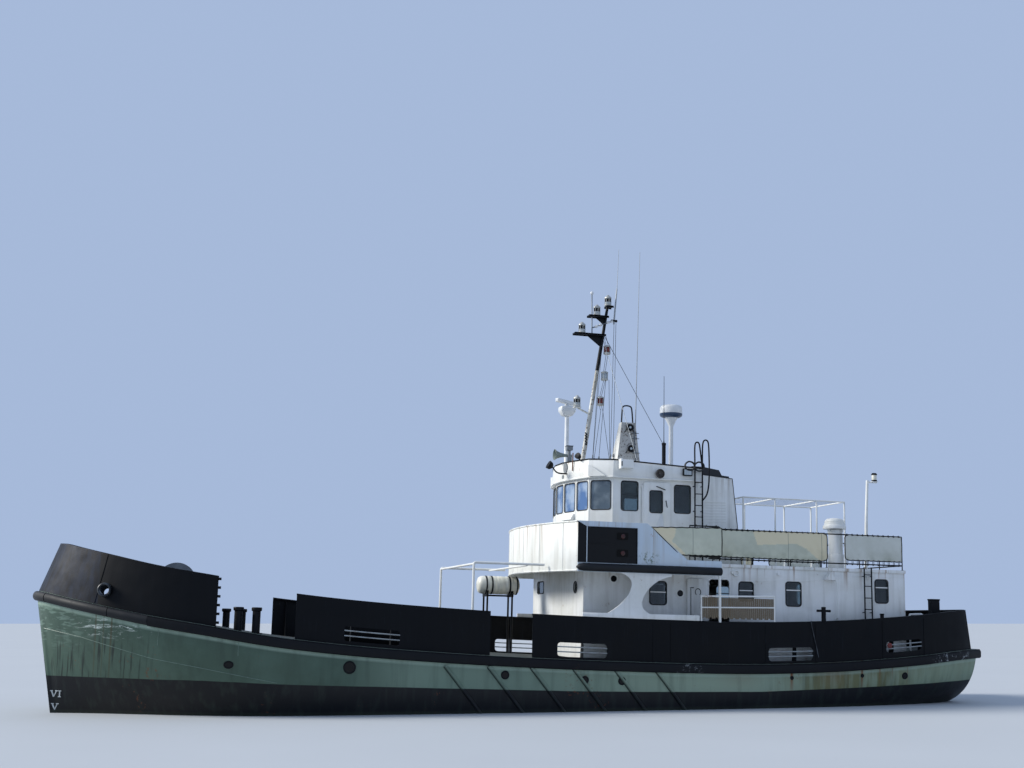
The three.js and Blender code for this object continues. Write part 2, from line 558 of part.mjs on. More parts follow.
// Wheelhouse roof with its deep white fascia
const VISOR_PLAN = [[960, -360], [1100, -1030], [1285, -1640], [1830, -2055], [VISOR.aft, -2060]];
const visorSection = (inset, height) => insetPlan(VISOR_PLAN, inset).map(([x, y]) => [x, y, height(x)]);
const visorFall = (VISOR.highAft - VISOR.highFront) / (VISOR.aft - VISOR.front);
const visorTop = (x) => VISOR.highFront + visorFall * (x - VISOR.front);
place('wheelhouse_roof', loft([visorSection(0, () => VISOR.low), visorSection(30, visorTop)]), 'whitePaint');

// Helm console, seen through the windows, with its wheel
place('helm_console', join([
  block(1500, 2000, -900, 900, CABIN.low, 4850),
  rod([2000, 0, 4700], [2090, 0, 4720], 60, 10),
  rod([2080, 0, 4720], [2120, 0, 4728], 260, 16),
]), 'greyPaint');

// Funnel casing behind the wheelhouse and its dark top
const CASING = { fore: VISOR.aft + 5, aft: 5760, half: 1300, topFore: 6200, topAft: 6100, topAftX: 5500 };
const casingTop = (x) => CASING.topFore
  + (CASING.topAft - CASING.topFore) * ((x - CASING.fore) / (CASING.topAftX - CASING.fore));
place('funnel_casing', across([[CASING.fore, ROOF.top + GAP], [CASING.aft, ROOF.top + GAP],
  [CASING.topAftX, CASING.topAft], [CASING.fore, CASING.topFore]], -CASING.half, CASING.half), 'whitePaint');
const FUNNEL = { fore: 4400, aft: 5480, half: CASING.half - 150 };
place('funnel_top', across([[FUNNEL.fore, casingTop(FUNNEL.fore) + GAP], [FUNNEL.aft, casingTop(FUNNEL.aft) + GAP],
  [5470, 6170], [5260, 6190], [5180, 6330], [4700, 6400], [FUNNEL.fore, 6400]], -FUNNEL.half, FUNNEL.half),
'greyPaint');

// Ladders
function ladder(x0, x1, y, z0, z1, rungs) {
  const pieces = [rod([x0, y, z0], [x0, y, z1], 22, 6), rod([x1, y, z0], [x1, y, z1], 22, 6)];
  rungs.forEach((z) => pieces.push(rod([x0, y, z], [x1, y, z], 14, 4)));
  return pieces;
}
const CABIN_LADDER = { x: [4080, 4290], y: -2110, top: 6340, rungs: [4050, 4350, 4650, 4950, 5250, 5550, 5850] };
const HOUSE_LADDER = { x: [8775, 8985], y: -2430, top: 3790, rungs: [2050, 2370, 2680, 2980, 3290, 3590] };
// Hoops that the ladder's stringers are bent into, as [x, z] points
const HOOPS = [
  [[4290, 6300], [4300, 6850], [4385, 7000], [4470, 6850], [4480, 6000], [4430, 5550], [4290, 5400]],
  [[4080, 6300], [4075, 6800], [4145, 6930], [4215, 6800], [4290, 6200]],
];
place('wheelhouse_ladder', join([
  ...ladder(...CABIN_LADDER.x, CABIN_LADDER.y, ROOF.top + GAP, CABIN_LADDER.top, CABIN_LADDER.rungs),
  ...HOOPS.map((points) => bentTube(points.map(([x, z]) => [x, CABIN_LADDER.y, z]), 22, points.length * 2)),
]), 'blackPaint');
const roofEdgeY = -HOUSE.half - ROOF.lip - GAP;
place('deckhouse_ladder', cut(join([
  ...ladder(...HOUSE_LADDER.x, HOUSE_LADDER.y, 1300, HOUSE_LADDER.top, HOUSE_LADDER.rungs),
  ...HOUSE_LADDER.x.map((x) => block(x - 15, x + 15, HOUSE_LADDER.y, roofEdgeY, ROOF.top - 54, ROOF.top - 4)),
]), [deckClearance]), 'blackPaint');

// Roof gear on the wheelhouse. The top of the roof slopes, so feet are cut to it.
const roofClearance = loft([visorSection(0, () => VISOR.low), visorSection(30, (x) => visorTop(x) + GAP)]);
const MAST_FOOT = [1625, 0, 6300];
const MAST_HEAD = [2370, 0, 11180];
const mastRake = (MAST_HEAD[0] - MAST_FOOT[0]) / (MAST_HEAD[2] - MAST_FOOT[2]);
const mastAt = (z) => MAST_FOOT[0] + mastRake * (z - MAST_FOOT[2]);
// Light platforms. Columns: z, from and to along x, from the mast's axis
const PLATFORMS = [[10070, -850, 60], [10600, -520, 60], [10900, -60, 150]];
const MAST_JOINT = 9600;
const MAST_WHIP = { foot: 10300, offset: 320, low: 10200, top: 12600 };
const mastGear = PLATFORMS.flatMap(([z, fore, aft]) => {
  const x = mastAt(z);
  return [
    block(x + fore, x + aft, -110, 110, z - 20, z + 20),
    rod([x + fore + 110, 0, z + 15], [x + fore + 110, 0, z + 250], 80, 10),
  ];
});
const mast = join([
  rod(MAST_FOOT, [mastAt(MAST_JOINT), 0, MAST_JOINT], 62, 12, 45),
  rod([mastAt(MAST_JOINT - 10), 0, MAST_JOINT - 10], MAST_HEAD, 45, 10, 35),
  ...mastGear,
  across([[mastAt(9800), 9800], [mastAt(10060), 10060], [mastAt(10060) - 480, 10060]], -8, 8),
  rod([mastAt(MAST_WHIP.foot) - 10, 0, MAST_WHIP.foot],
    [mastAt(MAST_WHIP.foot) + 330, 0, MAST_WHIP.foot + 60], 20, 8),
  rod([mastAt(MAST_WHIP.foot) + MAST_WHIP.offset, 0, MAST_WHIP.low],
    [mastAt(MAST_WHIP.foot) + MAST_WHIP.offset + 80, 0, MAST_WHIP.top], 14, 8, 8),
]);
place('mast', cut(mast, [roofClearance]), 'whitePaint');

const RADAR = { x: 1270, y: 250, top: 8060 };
// Head of the radar. Columns: half length, half width, and depth below the top
const RADAR_HEAD = [[120, 110, 300], [215, 170, 160], [215, 170, 40], [185, 150, 0]];
const radarHead = loft(RADAR_HEAD.map(([length, width, depth]) => [
  [-length, -width], [length, -width], [length, width], [-length, width],
].map(([x, y]) => [RADAR.x + x, RADAR.y + y, RADAR.top - depth])));
const radarStem = rod([RADAR.x, RADAR.y, 6200], [RADAR.x, RADAR.y, RADAR.top - 290], 60, 12);
place('radar_post', cut(join([radarStem, radarHead]), [roofClearance]), 'plastic');
const SCANNER = { length: 1000, width: 110, lift: 95, turn: Math.atan2(0.62, 0.78), spindle: 60 };
const scannerBar = new THREE.BoxGeometry(SCANNER.length, SCANNER.width, SCANNER.width);
scannerBar.rotateZ(SCANNER.turn);
scannerBar.translate(RADAR.x, RADAR.y, RADAR.top + SCANNER.lift);
place('radar_scanner', join([
  solid(scannerBar),
  rod([RADAR.x, RADAR.y, RADAR.top + GAP], [RADAR.x, RADAR.y, RADAR.top + SCANNER.lift], SCANNER.spindle, 12),
]), 'plastic');

const RADOME = { x: 4000, y: -600, stem: 62 };
const RADOME_PROFILE = [
  [0, 7630], [90, 7640], [190, 7790], [290, 7800], [310, 7860], [305, 8060], [270, 8110], [0, 8130],
];
const radomeStem = rod([RADOME.x, RADOME.y, 6100], [RADOME.x, RADOME.y, 7650], RADOME.stem, 12);
place('radome', cut(join([radomeStem, turned(RADOME_PROFILE, RADOME.x, RADOME.y)]), [roofClearance]), 'plastic');

// Tapered pylon with a hoop over its head and a long whip on a bracket
const PYLON = { y: -600, footZ: 6200, headZ: 7550, whipX: 2960, whipLow: 7300, whipTop: 12400 };
const pylonFoot = [[2330, -900], [2330, -300], [3010, -300], [3010, -900]];
const pylonHead = [[2530, -700], [2530, -500], [2930, -500], [2930, -700]];
const pylonHoop = [[2560, 7500], [2575, 7950], [2715, 8040], [2860, 7950], [2890, 7500]];
const pylon = loft([
  pylonFoot.map(([x, y]) => [x, y, PYLON.footZ]),
  pylonHead.map(([x, y]) => [x, y, PYLON.headZ]),
]);
place('antenna_pylon', cut(join([
  pylon,
  bentTube(pylonHoop.map(([x, z]) => [x, PYLON.y, z]), 20, 12),
  rod([PYLON.whipX, PYLON.y, PYLON.whipLow], [PYLON.whipX + 100, PYLON.y, PYLON.whipTop], 16, 8, 8),
  block(2880, 2990, PYLON.y - 15, PYLON.y + 15, PYLON.whipLow - 10, PYLON.whipLow + 50),
]), [roofClearance]), 'whitePaint');

const WHIP = { x: 3560, y: -1200, foot: 6100, socket: 6980, top: 8980 };
place('whip_antenna', cut(join([
  rod([WHIP.x, WHIP.y, WHIP.foot], [WHIP.x, WHIP.y, WHIP.socket], 52, 12),
  rod([WHIP.x, WHIP.y, WHIP.socket - 20], [WHIP.x, WHIP.y, WHIP.top], 12, 8),
]), [roofClearance]), 'blackPaint');

// Horn at the front of the roof
const HORN = { y: -300, z: 6600, mouth: 760, throat: 1130, back: 1250 };
place('horn', cut(join([
  rod([HORN.mouth, HORN.y, HORN.z + 10], [HORN.throat, HORN.y, HORN.z], 150, 16, 35),
  rod([HORN.throat - 30, HORN.y, HORN.z], [HORN.back, HORN.y, HORN.z - 10], 40, 10),
  rod([HORN.back - 20, HORN.y, 6100], [HORN.back - 20, HORN.y, HORN.z + 20], 25, 8),
]), [roofClearance]), 'plastic');

// Gear on the deckhouse roof
const VENTILATOR = { x: 8230, y: -1900 };
const VENTILATOR_PROFILE = [[0, ROOF.top + GAP], [215, ROOF.top + GAP], [215, 4130], [190, 4140], [190, 4800],
  [330, 4810], [340, 4900], [270, 5080], [180, 5120], [0, 5120]];
place('ventilator', turned(VENTILATOR_PROFILE, VENTILATOR.x, VENTILATOR.y, 16), 'whitePaint');

// Roof rails: stanchions with a top and a bottom rail, round the wings and the deckhouse roof
const RAIL = { low: 3870, high: 4640, radius: 18, fore: 3560, corner: 4370, aft: 9990, y: 2290, wingY: 3020 };
function railing(points, stanchions) {
  return join([...[RAIL.low, RAIL.high].map((z) => pipe(points.map(([x, y]) => [x, y, z]), RAIL.radius)),
    ...stanchions.map(([x, y]) => rod([x, y, ROOF.top + GAP], [x, y, RAIL.high], RAIL.radius * 0.8, 4))]);
}
const sideStanchions = [4500, 5600, 6700, 7750, 8900, RAIL.aft].map((x) => [x, -RAIL.y]);
const wingRail = railing(
  [[RAIL.fore, -RAIL.wingY], [RAIL.corner, -RAIL.wingY], [RAIL.corner, -RAIL.y], [RAIL.aft, -RAIL.y]],
  [[RAIL.fore, -RAIL.wingY], [RAIL.corner, -RAIL.wingY], ...sideStanchions],
);
const aftRail = railing([[RAIL.aft, -RAIL.y], [RAIL.aft, RAIL.y]], [-1100, 0, 1100].map((y) => [RAIL.aft, y]));
place('roof_rails', join([wingRail, mirrored(wingRail), aftRail]), 'blackPaint');

// Canvas dodgers outside the rails, and the plain cloth banner aft
const CLOTH = { thick: 12, off: RAIL.radius * Math.cos(Math.PI / 6) + GAP };
// The wing's cloth is laced along the slanted edge of the bridge screen
const slantRun = (SLANT[1][0] - SLANT[0][0]) / (SLANT[0][1] - SLANT[1][1]);
const slantEdge = (z) => [SLANT[0][0] + slantRun * (SLANT[0][1] - z) + 0.5, z];
const wingCloth = across([slantEdge(4560), [4410, 4610], [4410, 3900], slantEdge(3880)], -3085, -3075);
placePair('dodger_wing', wingCloth, 'canvas');
const railCloth = (corners) => across(corners, -RAIL.y - CLOTH.off - CLOTH.thick, -RAIL.y - CLOTH.off);
placePair('dodger_roof', railCloth([[4460, 3920], [7760, 3910], [7760, 4660], [4460, 4630]]), 'canvas');
placePair('banner', railCloth([[8280, 3960], [9970, 3960], [9970, 4650], [8280, 4650]]), 'canvas');

// White pipe frame on the deckhouse roof
const AWNING = { x: [5950, 6900, 8150, 9000], y: 1000, z: 5650, low: ROOF.top + GAP };
const awning = [];
[-AWNING.y, AWNING.y].forEach((y) => {
  AWNING.x.forEach((x) => awning.push(rod([x, y, AWNING.low], [x, y, AWNING.z], 30, 8)));
  awning.push(pipe([[AWNING.x[0], y, AWNING.z], [AWNING.x[3], y, AWNING.z]], 24));
});
AWNING.x.forEach((x) => awning.push(pipe([[x, -AWNING.y, AWNING.z], [x, AWNING.y, AWNING.z]], 24)));
place('awning_frame', join(awning), 'whitePaint');

const LIGHT_MAST = { x: 9800, y: -700, top: 6500, arm: 6200 };
const roofTopClearance = block(0, 11000, -3000, 3000, 3000, ROOF.top + GAP);
place('stern_light_mast', cut(join([
  rod([LIGHT_MAST.x, LIGHT_MAST.y, ROOF.top - 50], [LIGHT_MAST.x + 40, LIGHT_MAST.y, LIGHT_MAST.top], 38, 10),
  block(LIGHT_MAST.x + 20, 10060,
    LIGHT_MAST.y - 12, LIGHT_MAST.y + 12, LIGHT_MAST.arm - 20, LIGHT_MAST.arm + 10),
  rod([10000, LIGHT_MAST.y, LIGHT_MAST.arm], [10000, LIGHT_MAST.y, LIGHT_MAST.arm + 220], 75, 10),
]), [roofTopClearance]), 'whitePaint');

// Gallows frame, liferaft and hatch on the fore deck
const GALLOWS = { x: -1775, half: 1950, z: 3580, foot: 1200 };
const gallowsSide = join([
  rod([GALLOWS.x, -GALLOWS.half, GALLOWS.foot], [GALLOWS.x, -GALLOWS.half, GALLOWS.z], 42, 10),
  pipe([[GALLOWS.x, -GALLOWS.half, GALLOWS.z], [60, -GALLOWS.half, GALLOWS.z]], 32),
]);
const gallowsBar = rod(
  [GALLOWS.x, -GALLOWS.half, GALLOWS.z - 40], [GALLOWS.x, GALLOWS.half, GALLOWS.z - 40], 32, 8,
);
const screenClearance = raise([...bowedFront(-GAP), [WING.aft, -WING.half], [WING.aft, WING.half]], 3300, 4700);
const gallows = join([gallowsSide, mirrored(gallowsSide), gallowsBar]);
place('gallows_frame', cut(gallows, [deckClearance, screenClearance]),
  'whitePaint');

// Liferaft canister, lying fore and aft on a cradle
const RAFT = { fore: -840, aft: 330, y: 1500, z: 3135, radius: 250, end: 160, taper: 70 };
const raftRod = (x0, x1, r0, r1 = r0) => rod([x0, RAFT.y, RAFT.z], [x1, RAFT.y, RAFT.z], r0, 20, r1);
place('liferaft', join([
  raftRod(RAFT.fore + RAFT.taper - 10, RAFT.aft - RAFT.taper + 10, RAFT.radius),
  raftRod(RAFT.fore, RAFT.fore + RAFT.taper, RAFT.end, RAFT.radius),
  raftRod(RAFT.aft - RAFT.taper, RAFT.aft, RAFT.radius, RAFT.end),
]), 'plastic');
const CRADLE = { x: [-600, 100], half: 210, legTop: 2900, saddle: [2820, 2980], barZ: 2850 };
const cradle = CRADLE.x.flatMap((x) => [
  ...[-CRADLE.half, CRADLE.half].map((dy) =>
    rod([x, RAFT.y + dy, 1200], [x, RAFT.y + dy, CRADLE.legTop], 28, 6)),
  block(x - 30, x + 30, RAFT.y - CRADLE.half - 30, RAFT.y + CRADLE.half + 30, ...CRADLE.saddle),
]);
cradle.push(rod([CRADLE.x[0], RAFT.y, CRADLE.barZ], [CRADLE.x[1], RAFT.y, CRADLE.barZ], 24, 6));
const raftClearance = raftRod(RAFT.fore - 10, RAFT.aft + 10, RAFT.radius + GAP);
place('liferaft_cradle', cut(join(cradle), [deckClearance, raftClearance]), 'blackPaint');

const HATCH = { x: [-5600, -2900], half: 1150, top: 2050, plate: 40 };
const hatchWell = HATCH.half - HATCH.plate;
place('hatch_coaming', cut(block(HATCH.x[0], HATCH.x[1], -HATCH.half, HATCH.half, 1250, HATCH.top), [
  block(HATCH.x[0] + HATCH.plate, HATCH.x[1] - HATCH.plate, -hatchWell, hatchWell, 1200, HATCH.top + 10),
  deckClearance,
]), 'greyPaint');
const lidMid = (HATCH.x[0] + HATCH.x[1]) / 2;
// Covers, which meet amidships. Columns: name, from x, to x, x of the hinge pin, strap from x, strap to x
const COVERS = [
  ['fore', HATCH.x[0] - 30, lidMid - 4, HATCH.x[0] - 50, HATCH.x[0] - 50, HATCH.x[0] - 25],
  ['aft', lidMid + 4, HATCH.x[1] + 30, HATCH.x[1] + 50, HATCH.x[1] + 25, HATCH.x[1] + 50],
];
COVERS.forEach(([name, x0, x1, pinX, strap0, strap1]) => {
  place(`hatch_cover_${name}`, join([
    block(x0, x1, -HATCH.half - 30, HATCH.half + 30, HATCH.top + GAP, HATCH.top + 70),
    rod([pinX, -900, HATCH.top + 35], [pinX, 900, HATCH.top + 35], 18, 10),
    block(strap0, strap1, -880, 880, HATCH.top + 25, HATCH.top + 45),
  ]), 'greyPaint');
});

// Windlass: two cheeks on a bed, and the drum with a warping end on each side
const WINDLASS = {
  x: -8930, z: 2900, half: 350, cheekIn: 500, cheekOut: 620, foot: 1700, bed: 2250, shaft: 60,
};
const cheek = block(WINDLASS.x - WINDLASS.half, WINDLASS.x + WINDLASS.half,
  -WINDLASS.cheekOut, -WINDLASS.cheekIn,
  WINDLASS.foot, WINDLASS.z + 150);
const windlassBed = block(WINDLASS.x - WINDLASS.half, WINDLASS.x + WINDLASS.half,
  -WINDLASS.cheekOut, WINDLASS.cheekOut,
  WINDLASS.foot, WINDLASS.bed);
const windlassRod = (y0, y1, r0, sides = 20, r1 = r0) => rod(
  [WINDLASS.x, y0, WINDLASS.z],
  [WINDLASS.x, y1, WINDLASS.z],
  r0,
  sides,
  r1,
);
place('windlass_frame', cut(join([cheek, mirrored(cheek), windlassBed]),
  [deckClearance, windlassRod(-700, 700, WINDLASS.shaft + 1, 32)]), 'greyPaint');
place('windlass_drum', join([
  windlassRod(-980, 980, WINDLASS.shaft, 32),
  windlassRod(-480, 480, 300),
  windlassRod(-490, -450, 480),
  windlassRod(450, 490, 480),
  windlassRod(-980, -680, 170, 16, 120),
  windlassRod(680, 980, 120, 16, 170),
]), 'greyPaint');

// Twin bollard: two capped posts on one foot
const BOLLARD = { pitch: 210, post: 95, cap: 125, foot: 110, top: 560 };
function bollard(x, y) {
  const deck = edgeAt(x)[2];
  const posts = [-BOLLARD.pitch, BOLLARD.pitch].flatMap((dx) => [
    rod([x + dx, y, 1000], [x + dx, y, deck + BOLLARD.top], BOLLARD.post, 14),
    rod([x + dx, y, deck + BOLLARD.top - 20], [x + dx, y, deck + BOLLARD.top + 20], BOLLARD.cap, 14),
  ]);
  const foot = block(x - 350, x + 350, y - 130, y + 130, 1000, deck + BOLLARD.foot);
  return cut(join([foot, ...posts]), [deckClearance]);
}
placePair('bollard_fore', bollard(-7300, -2350), 'blackPaint');
placePair('bollard_aft', bollard(11000, -2050), 'blackPaint');

// Propeller with its shaft. Blade rows: radius, pitch angle, half width, thickness
const BLADE_ROWS = [
  [70, 0.75, 130, 34], [180, 0.62, 190, 26], [320, 0.48, 210, 18], [430, 0.4, 150, 12], [475, 0.36, 50, 8],
];
const BLADE_WRAP = 1.6;
function blade(turn) {
  return loft(BLADE_ROWS.map(([r, pitch, half, thick]) => (
    [[-half, 0], [0, thick / 2], [half, 0], [0, -thick / 2]].map(([u, v]) => {
      const along = u * Math.sin(pitch) + v * Math.cos(pitch);
      const round = u * Math.cos(pitch) - v * Math.sin(pitch);
      const angle = turn + round / r / BLADE_WRAP;
      return [PROPELLER.x + along, r * Math.sin(angle), SHAFT.z + r * Math.cos(angle)];
    })
  )));
}
const shaftRod = (x0, x1, r0, sides, r1 = r0) => rod([x0, 0, SHAFT.z], [x1, 0, SHAFT.z], r0, sides, r1);
place('propeller', join([
  shaftRod(SHAFT.front + 170, PROPELLER.x + 140, SHAFT.radius, 32),
  shaftRod(PROPELLER.x - 140, PROPELLER.x + 120, PROPELLER.hub, 20, 80),
  shaftRod(PROPELLER.x + 119, PROPELLER.x + 200, 75, 20, 20),
  ...Array.from({ length: PROPELLER.blades }, (_, i) => blade((i + 0.5) * ((2 * Math.PI) / PROPELLER.blades))),
]), 'bronze');

// Rudder: blade, stock up into the hull, and the pintle that stands on the heel
const rudderHalf = [[RUDDER.fore, 0], [RUDDER.fore + 80, -55], [RUDDER.fore + 260, -70], [RUDDER.aft, -12]];
const rudderPlan = [...rudderHalf, ...rudderHalf.slice(1).map(([x, y]) => [x, -y]).reverse()];
place('rudder', join([
  raise(rudderPlan, RUDDER.low, RUDDER.high),
  rod([RUDDER.x, 0, RUDDER.high - 50], [RUDDER.x, 0, 60], RUDDER.stock, 24),
  rod([RUDDER.x, 0, KEEL_BOTTOM + HEEL + GAP], [RUDDER.x, 0, RUDDER.low + 10], 45, 16),
]), 'blackPaint');

export default group;
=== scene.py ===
import bpy
import numpy as np
from mathutils import Matrix, Vector
from mathutils.geometry import delaunay_2d_cdt


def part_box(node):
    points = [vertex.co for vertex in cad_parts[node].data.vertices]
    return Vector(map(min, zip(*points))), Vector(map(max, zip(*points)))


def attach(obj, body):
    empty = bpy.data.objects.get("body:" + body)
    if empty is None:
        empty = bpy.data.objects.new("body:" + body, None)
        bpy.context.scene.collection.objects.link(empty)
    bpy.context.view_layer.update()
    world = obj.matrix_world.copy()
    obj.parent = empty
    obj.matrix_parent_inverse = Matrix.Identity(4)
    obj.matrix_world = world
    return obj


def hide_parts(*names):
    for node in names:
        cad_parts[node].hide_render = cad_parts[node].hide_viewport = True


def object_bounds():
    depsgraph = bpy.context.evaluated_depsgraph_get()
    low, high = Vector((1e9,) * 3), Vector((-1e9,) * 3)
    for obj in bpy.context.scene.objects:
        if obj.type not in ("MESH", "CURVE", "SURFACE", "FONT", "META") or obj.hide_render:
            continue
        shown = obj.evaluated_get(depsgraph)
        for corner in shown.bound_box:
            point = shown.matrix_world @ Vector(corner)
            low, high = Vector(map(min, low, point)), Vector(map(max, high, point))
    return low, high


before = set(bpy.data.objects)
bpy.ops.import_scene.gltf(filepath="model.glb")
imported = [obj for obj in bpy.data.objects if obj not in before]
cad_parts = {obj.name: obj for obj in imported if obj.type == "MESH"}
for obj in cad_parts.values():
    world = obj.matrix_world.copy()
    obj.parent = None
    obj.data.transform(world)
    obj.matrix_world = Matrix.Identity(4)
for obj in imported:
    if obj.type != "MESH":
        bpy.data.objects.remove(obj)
cad_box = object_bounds()


# The view: the eye stands 2.2 m above the water on the far side of the basin, and looks up a little.
# The vessel floats 1.36 degrees by the stern, so level water is tilted in the vessel's own axes.
TRIM = 0.0238126731
EYE = (-9.70473764, -35.5242813, 2.19134894)
YAW, PITCH = -0.261882202, 0.170510559
LENS = 1371.50307 * 36 / 1024

level = Matrix.Rotation(-TRIM, 4, "Y")
camera_data = bpy.data.cameras.new("camera")
camera_data.lens = LENS
camera_data.sensor_width = 36
camera_data.clip_end = 3000
camera = bpy.data.objects.new("camera", camera_data)
camera.matrix_world = (level @ Matrix.Translation(EYE) @ Matrix.Rotation(YAW, 4, "Z")
                       @ Matrix.Rotation(np.pi / 2 + PITCH, 4, "X"))
bpy.context.collection.objects.link(camera)
bpy.context.scene.camera = camera
bpy.context.scene.view_settings.view_transform = "Standard"


def colour(text):
    """An sRGB colour written as hex digits, as linear red, green, blue and alpha."""
    c = np.array([int(text[i:i + 2], 16) for i in (0, 2, 4)]) / 255
    c = np.where(c <= 0.04045, c / 12.92, ((c + 0.055) / 1.055) ** 2.4)
    return (*c.tolist(), 1.0)


def add(tree, kind, inputs, out=0, **settings):
    """Adds a node, sets its properties, gives its inputs links, hex colours or values, and returns
    one of its outputs."""
    made = tree.nodes.new("ShaderNode" + kind)
    for key, value in settings.items():
        setattr(made, key, value)
    for key, value in inputs.items():
        if isinstance(value, bpy.types.NodeSocket):
            tree.links.new(value, made.inputs[key])
        else:
            made.inputs[key].default_value = colour(value) if isinstance(value, str) else value
    return made.outputs[out]


def laid(tree, base, shade, *parts):
    """A colour laid over the base as far as the product of the parts, each from 0 to 1, lets it."""
    part = parts[0]
    for other in parts[1:]:
        part = add(tree, "Math", {0: part, 1: other}, operation="MULTIPLY")
    return add(tree, "Mix", {0: part, 6: base, 7: shade}, 2, data_type="RGBA")


def surface(name, build, **shader):
    """A material whose colour, roughness and relief come from build(tree, place)."""
    made = bpy.data.materials.new(name)
    made.use_nodes = True
    tree = made.node_tree
    bsdf = tree.nodes["Principled BSDF"]
    for key, value in shader.items():
        bsdf.inputs[key.replace("_", " ")].default_value = value
    base, rough, height, depth = build(tree, add(tree, "TexCoord", {}, "Object"))
    normal = add(tree, "Bump", {"Height": height, "Strength": 1.0, "Distance": depth})
    for key, value in (("Base Color", base), ("Roughness", rough), ("Normal", normal)):
        tree.links.new(value, bsdf.inputs[key])
    return made


# Floor and light: a pale floor at the water's level, a pale room and one soft lamp from ahead.
def floor_finish(tree, place):
    """Matt pale grey with a faint cloudiness a few metres across."""
    cloud = add(tree, "TexNoise", {"Vector": place, "Scale": 0.15, "Detail": 2.0})
    rough = add(tree, "MapRange", {0: cloud, 3: 0.78, 4: 0.86})
    return laid(tree, "b3b7ba", "babec1", cloud), rough, cloud, 0.0


def full_turn(steps):
    """Angles at even steps once round."""
    return np.linspace(0, 2 * np.pi, steps, endpoint=False)


FLOOR_REACH = 900
turn = full_turn(96)
floor_mesh = bpy.data.meshes.new("floor")
floor_mesh.from_pydata((FLOOR_REACH * np.c_[np.cos(turn), np.sin(turn), 0 * turn]).tolist(), [],
                       [list(range(len(turn)))])
floor = bpy.data.objects.new("floor", floor_mesh)
floor.matrix_world = level
floor_mesh.materials.append(surface("matt floor", floor_finish))
bpy.context.collection.objects.link(floor)

world = bpy.data.worlds.new("room")
bpy.context.scene.world = world
world.use_nodes = True
world.node_tree.nodes["Background"].inputs[0].default_value = colour("b8cdf0")
world.node_tree.nodes["Background"].inputs[1].default_value = 0.8
key_data = bpy.data.lights.new("key", "SUN")
key_data.energy = 4.0
key_data.angle = 0.35
key_data.color = (1.0, 0.965, 0.9)
key = bpy.data.objects.new("key", key_data)
key.rotation_euler = Vector((-0.85, 0.25, 0.5)).to_track_quat("Z", "Y").to_euler()
bpy.context.collection.objects.link(key)


# Plated steel shapes are built from numpy arrays of points with lists of faces.
def bevelled(made, width, sharp):
    """A small round on the edges that are sharper than so many degrees."""
    edge = made.modifiers.new("edges", "BEVEL")
    edge.width = width
    edge.segments = 2
    edge.limit_method = "ANGLE"
    edge.angle_limit = np.radians(sharp)
    return edge


def piece(name, shapes, finish, body="ship", smooth=35, bevel=0.0, stands_for=(), slot=None):
    """One object from (points, faces) shapes. Edges sharper than smooth degrees stay sharp."""
    shapes = [s for s in shapes if len(s[0])]
    starts = np.cumsum([0] + [len(p) for p, _ in shapes[:-1]])
    mesh = bpy.data.meshes.new(name)
    points = np.concatenate([np.asarray(p, float) for p, _ in shapes])
    faces = [[int(i) + int(start) for i in f] for (_, fs), start in zip(shapes, starts) for f in fs]
    mesh.from_pydata(points.tolist(), [], faces)
    mesh.validate()
    made = bpy.data.objects.new(name, mesh)
    bpy.context.collection.objects.link(made)
    for one in finish if isinstance(finish, (list, tuple)) else [finish]:
        mesh.materials.append(one)
    mesh.shade_smooth()
    mesh.set_sharp_from_angle(angle=np.radians(smooth))
    if bevel:
        bevelled(made, bevel, 40)
    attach(made, body)
    if stands_for:
        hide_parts(*([stands_for] if isinstance(stands_for, str) else stands_for))
    return made


def skin(rows, ends=True, shut=False):
    """Quads between closed rows, an array of rows x points x 3, with a face at each end, or shut
    into a loop where the last row meets the first."""
    m, n = rows.shape[:2]
    i, j = np.meshgrid(np.arange(m if shut else m - 1), np.arange(n), indexing="ij")
    a, b, step = i * n + j, i * n + (j + 1) % n, (i + 1) % m * n
    faces = np.stack([a, b, step + (j + 1) % n, step + j], -1).reshape(-1, 4).tolist()
    if ends and not shut:
        faces += [list(range(n))[::-1], list(range((m - 1) * n, m * n))]
    return rows.reshape(-1, 3), faces


def box(x0, x1, y0, y1, z0, z1):
    """A block between two corners."""
    plan = np.array([(x0, y0), (x1, y0), (x1, y1), (x0, y1)])
    return skin(np.stack([np.c_[plan, np.full(4, z)] for z in (z0, z1)]))


def tube(path, radius, sides=10, shut=False):
    """A round bar along a path; radius is one number or one for each point. The ring at each
    point stands square to the mean direction there and is carried on without twist."""
    path = np.asarray(path, float)
    ways = np.diff(np.vstack([path, path[:1]]) if shut else path, axis=0)
    ways /= np.linalg.norm(ways, axis=1)[:, None]
    mean = np.vstack([ways[:1] + (ways[-1:] if shut else 0), ways[:-1] + ways[1:],
                      *([] if shut else [ways[-1:]])])
    mean /= np.linalg.norm(mean, axis=1)[:, None]
    side = np.cross(mean[0], (0, 0, 1) if abs(mean[0][2]) < 0.9 else (1, 0, 0))
    sides_of = []
    for way in mean:
        side = side - way * side.dot(way)
        side /= np.linalg.norm(side)
        sides_of.append(side)
    side = np.array(sides_of)
    other = np.cross(mean, side)
    turn = full_turn(sides)
    wide = np.broadcast_to(np.asarray(radius, float), len(path))[:, None, None]
    rows = path[:,
                None] + wide * (side[:, None] * np.cos(turn)[:, None] + other[:, None]
                                * np.sin(turn)[:, None])
    return skin(rows, shut=shut)


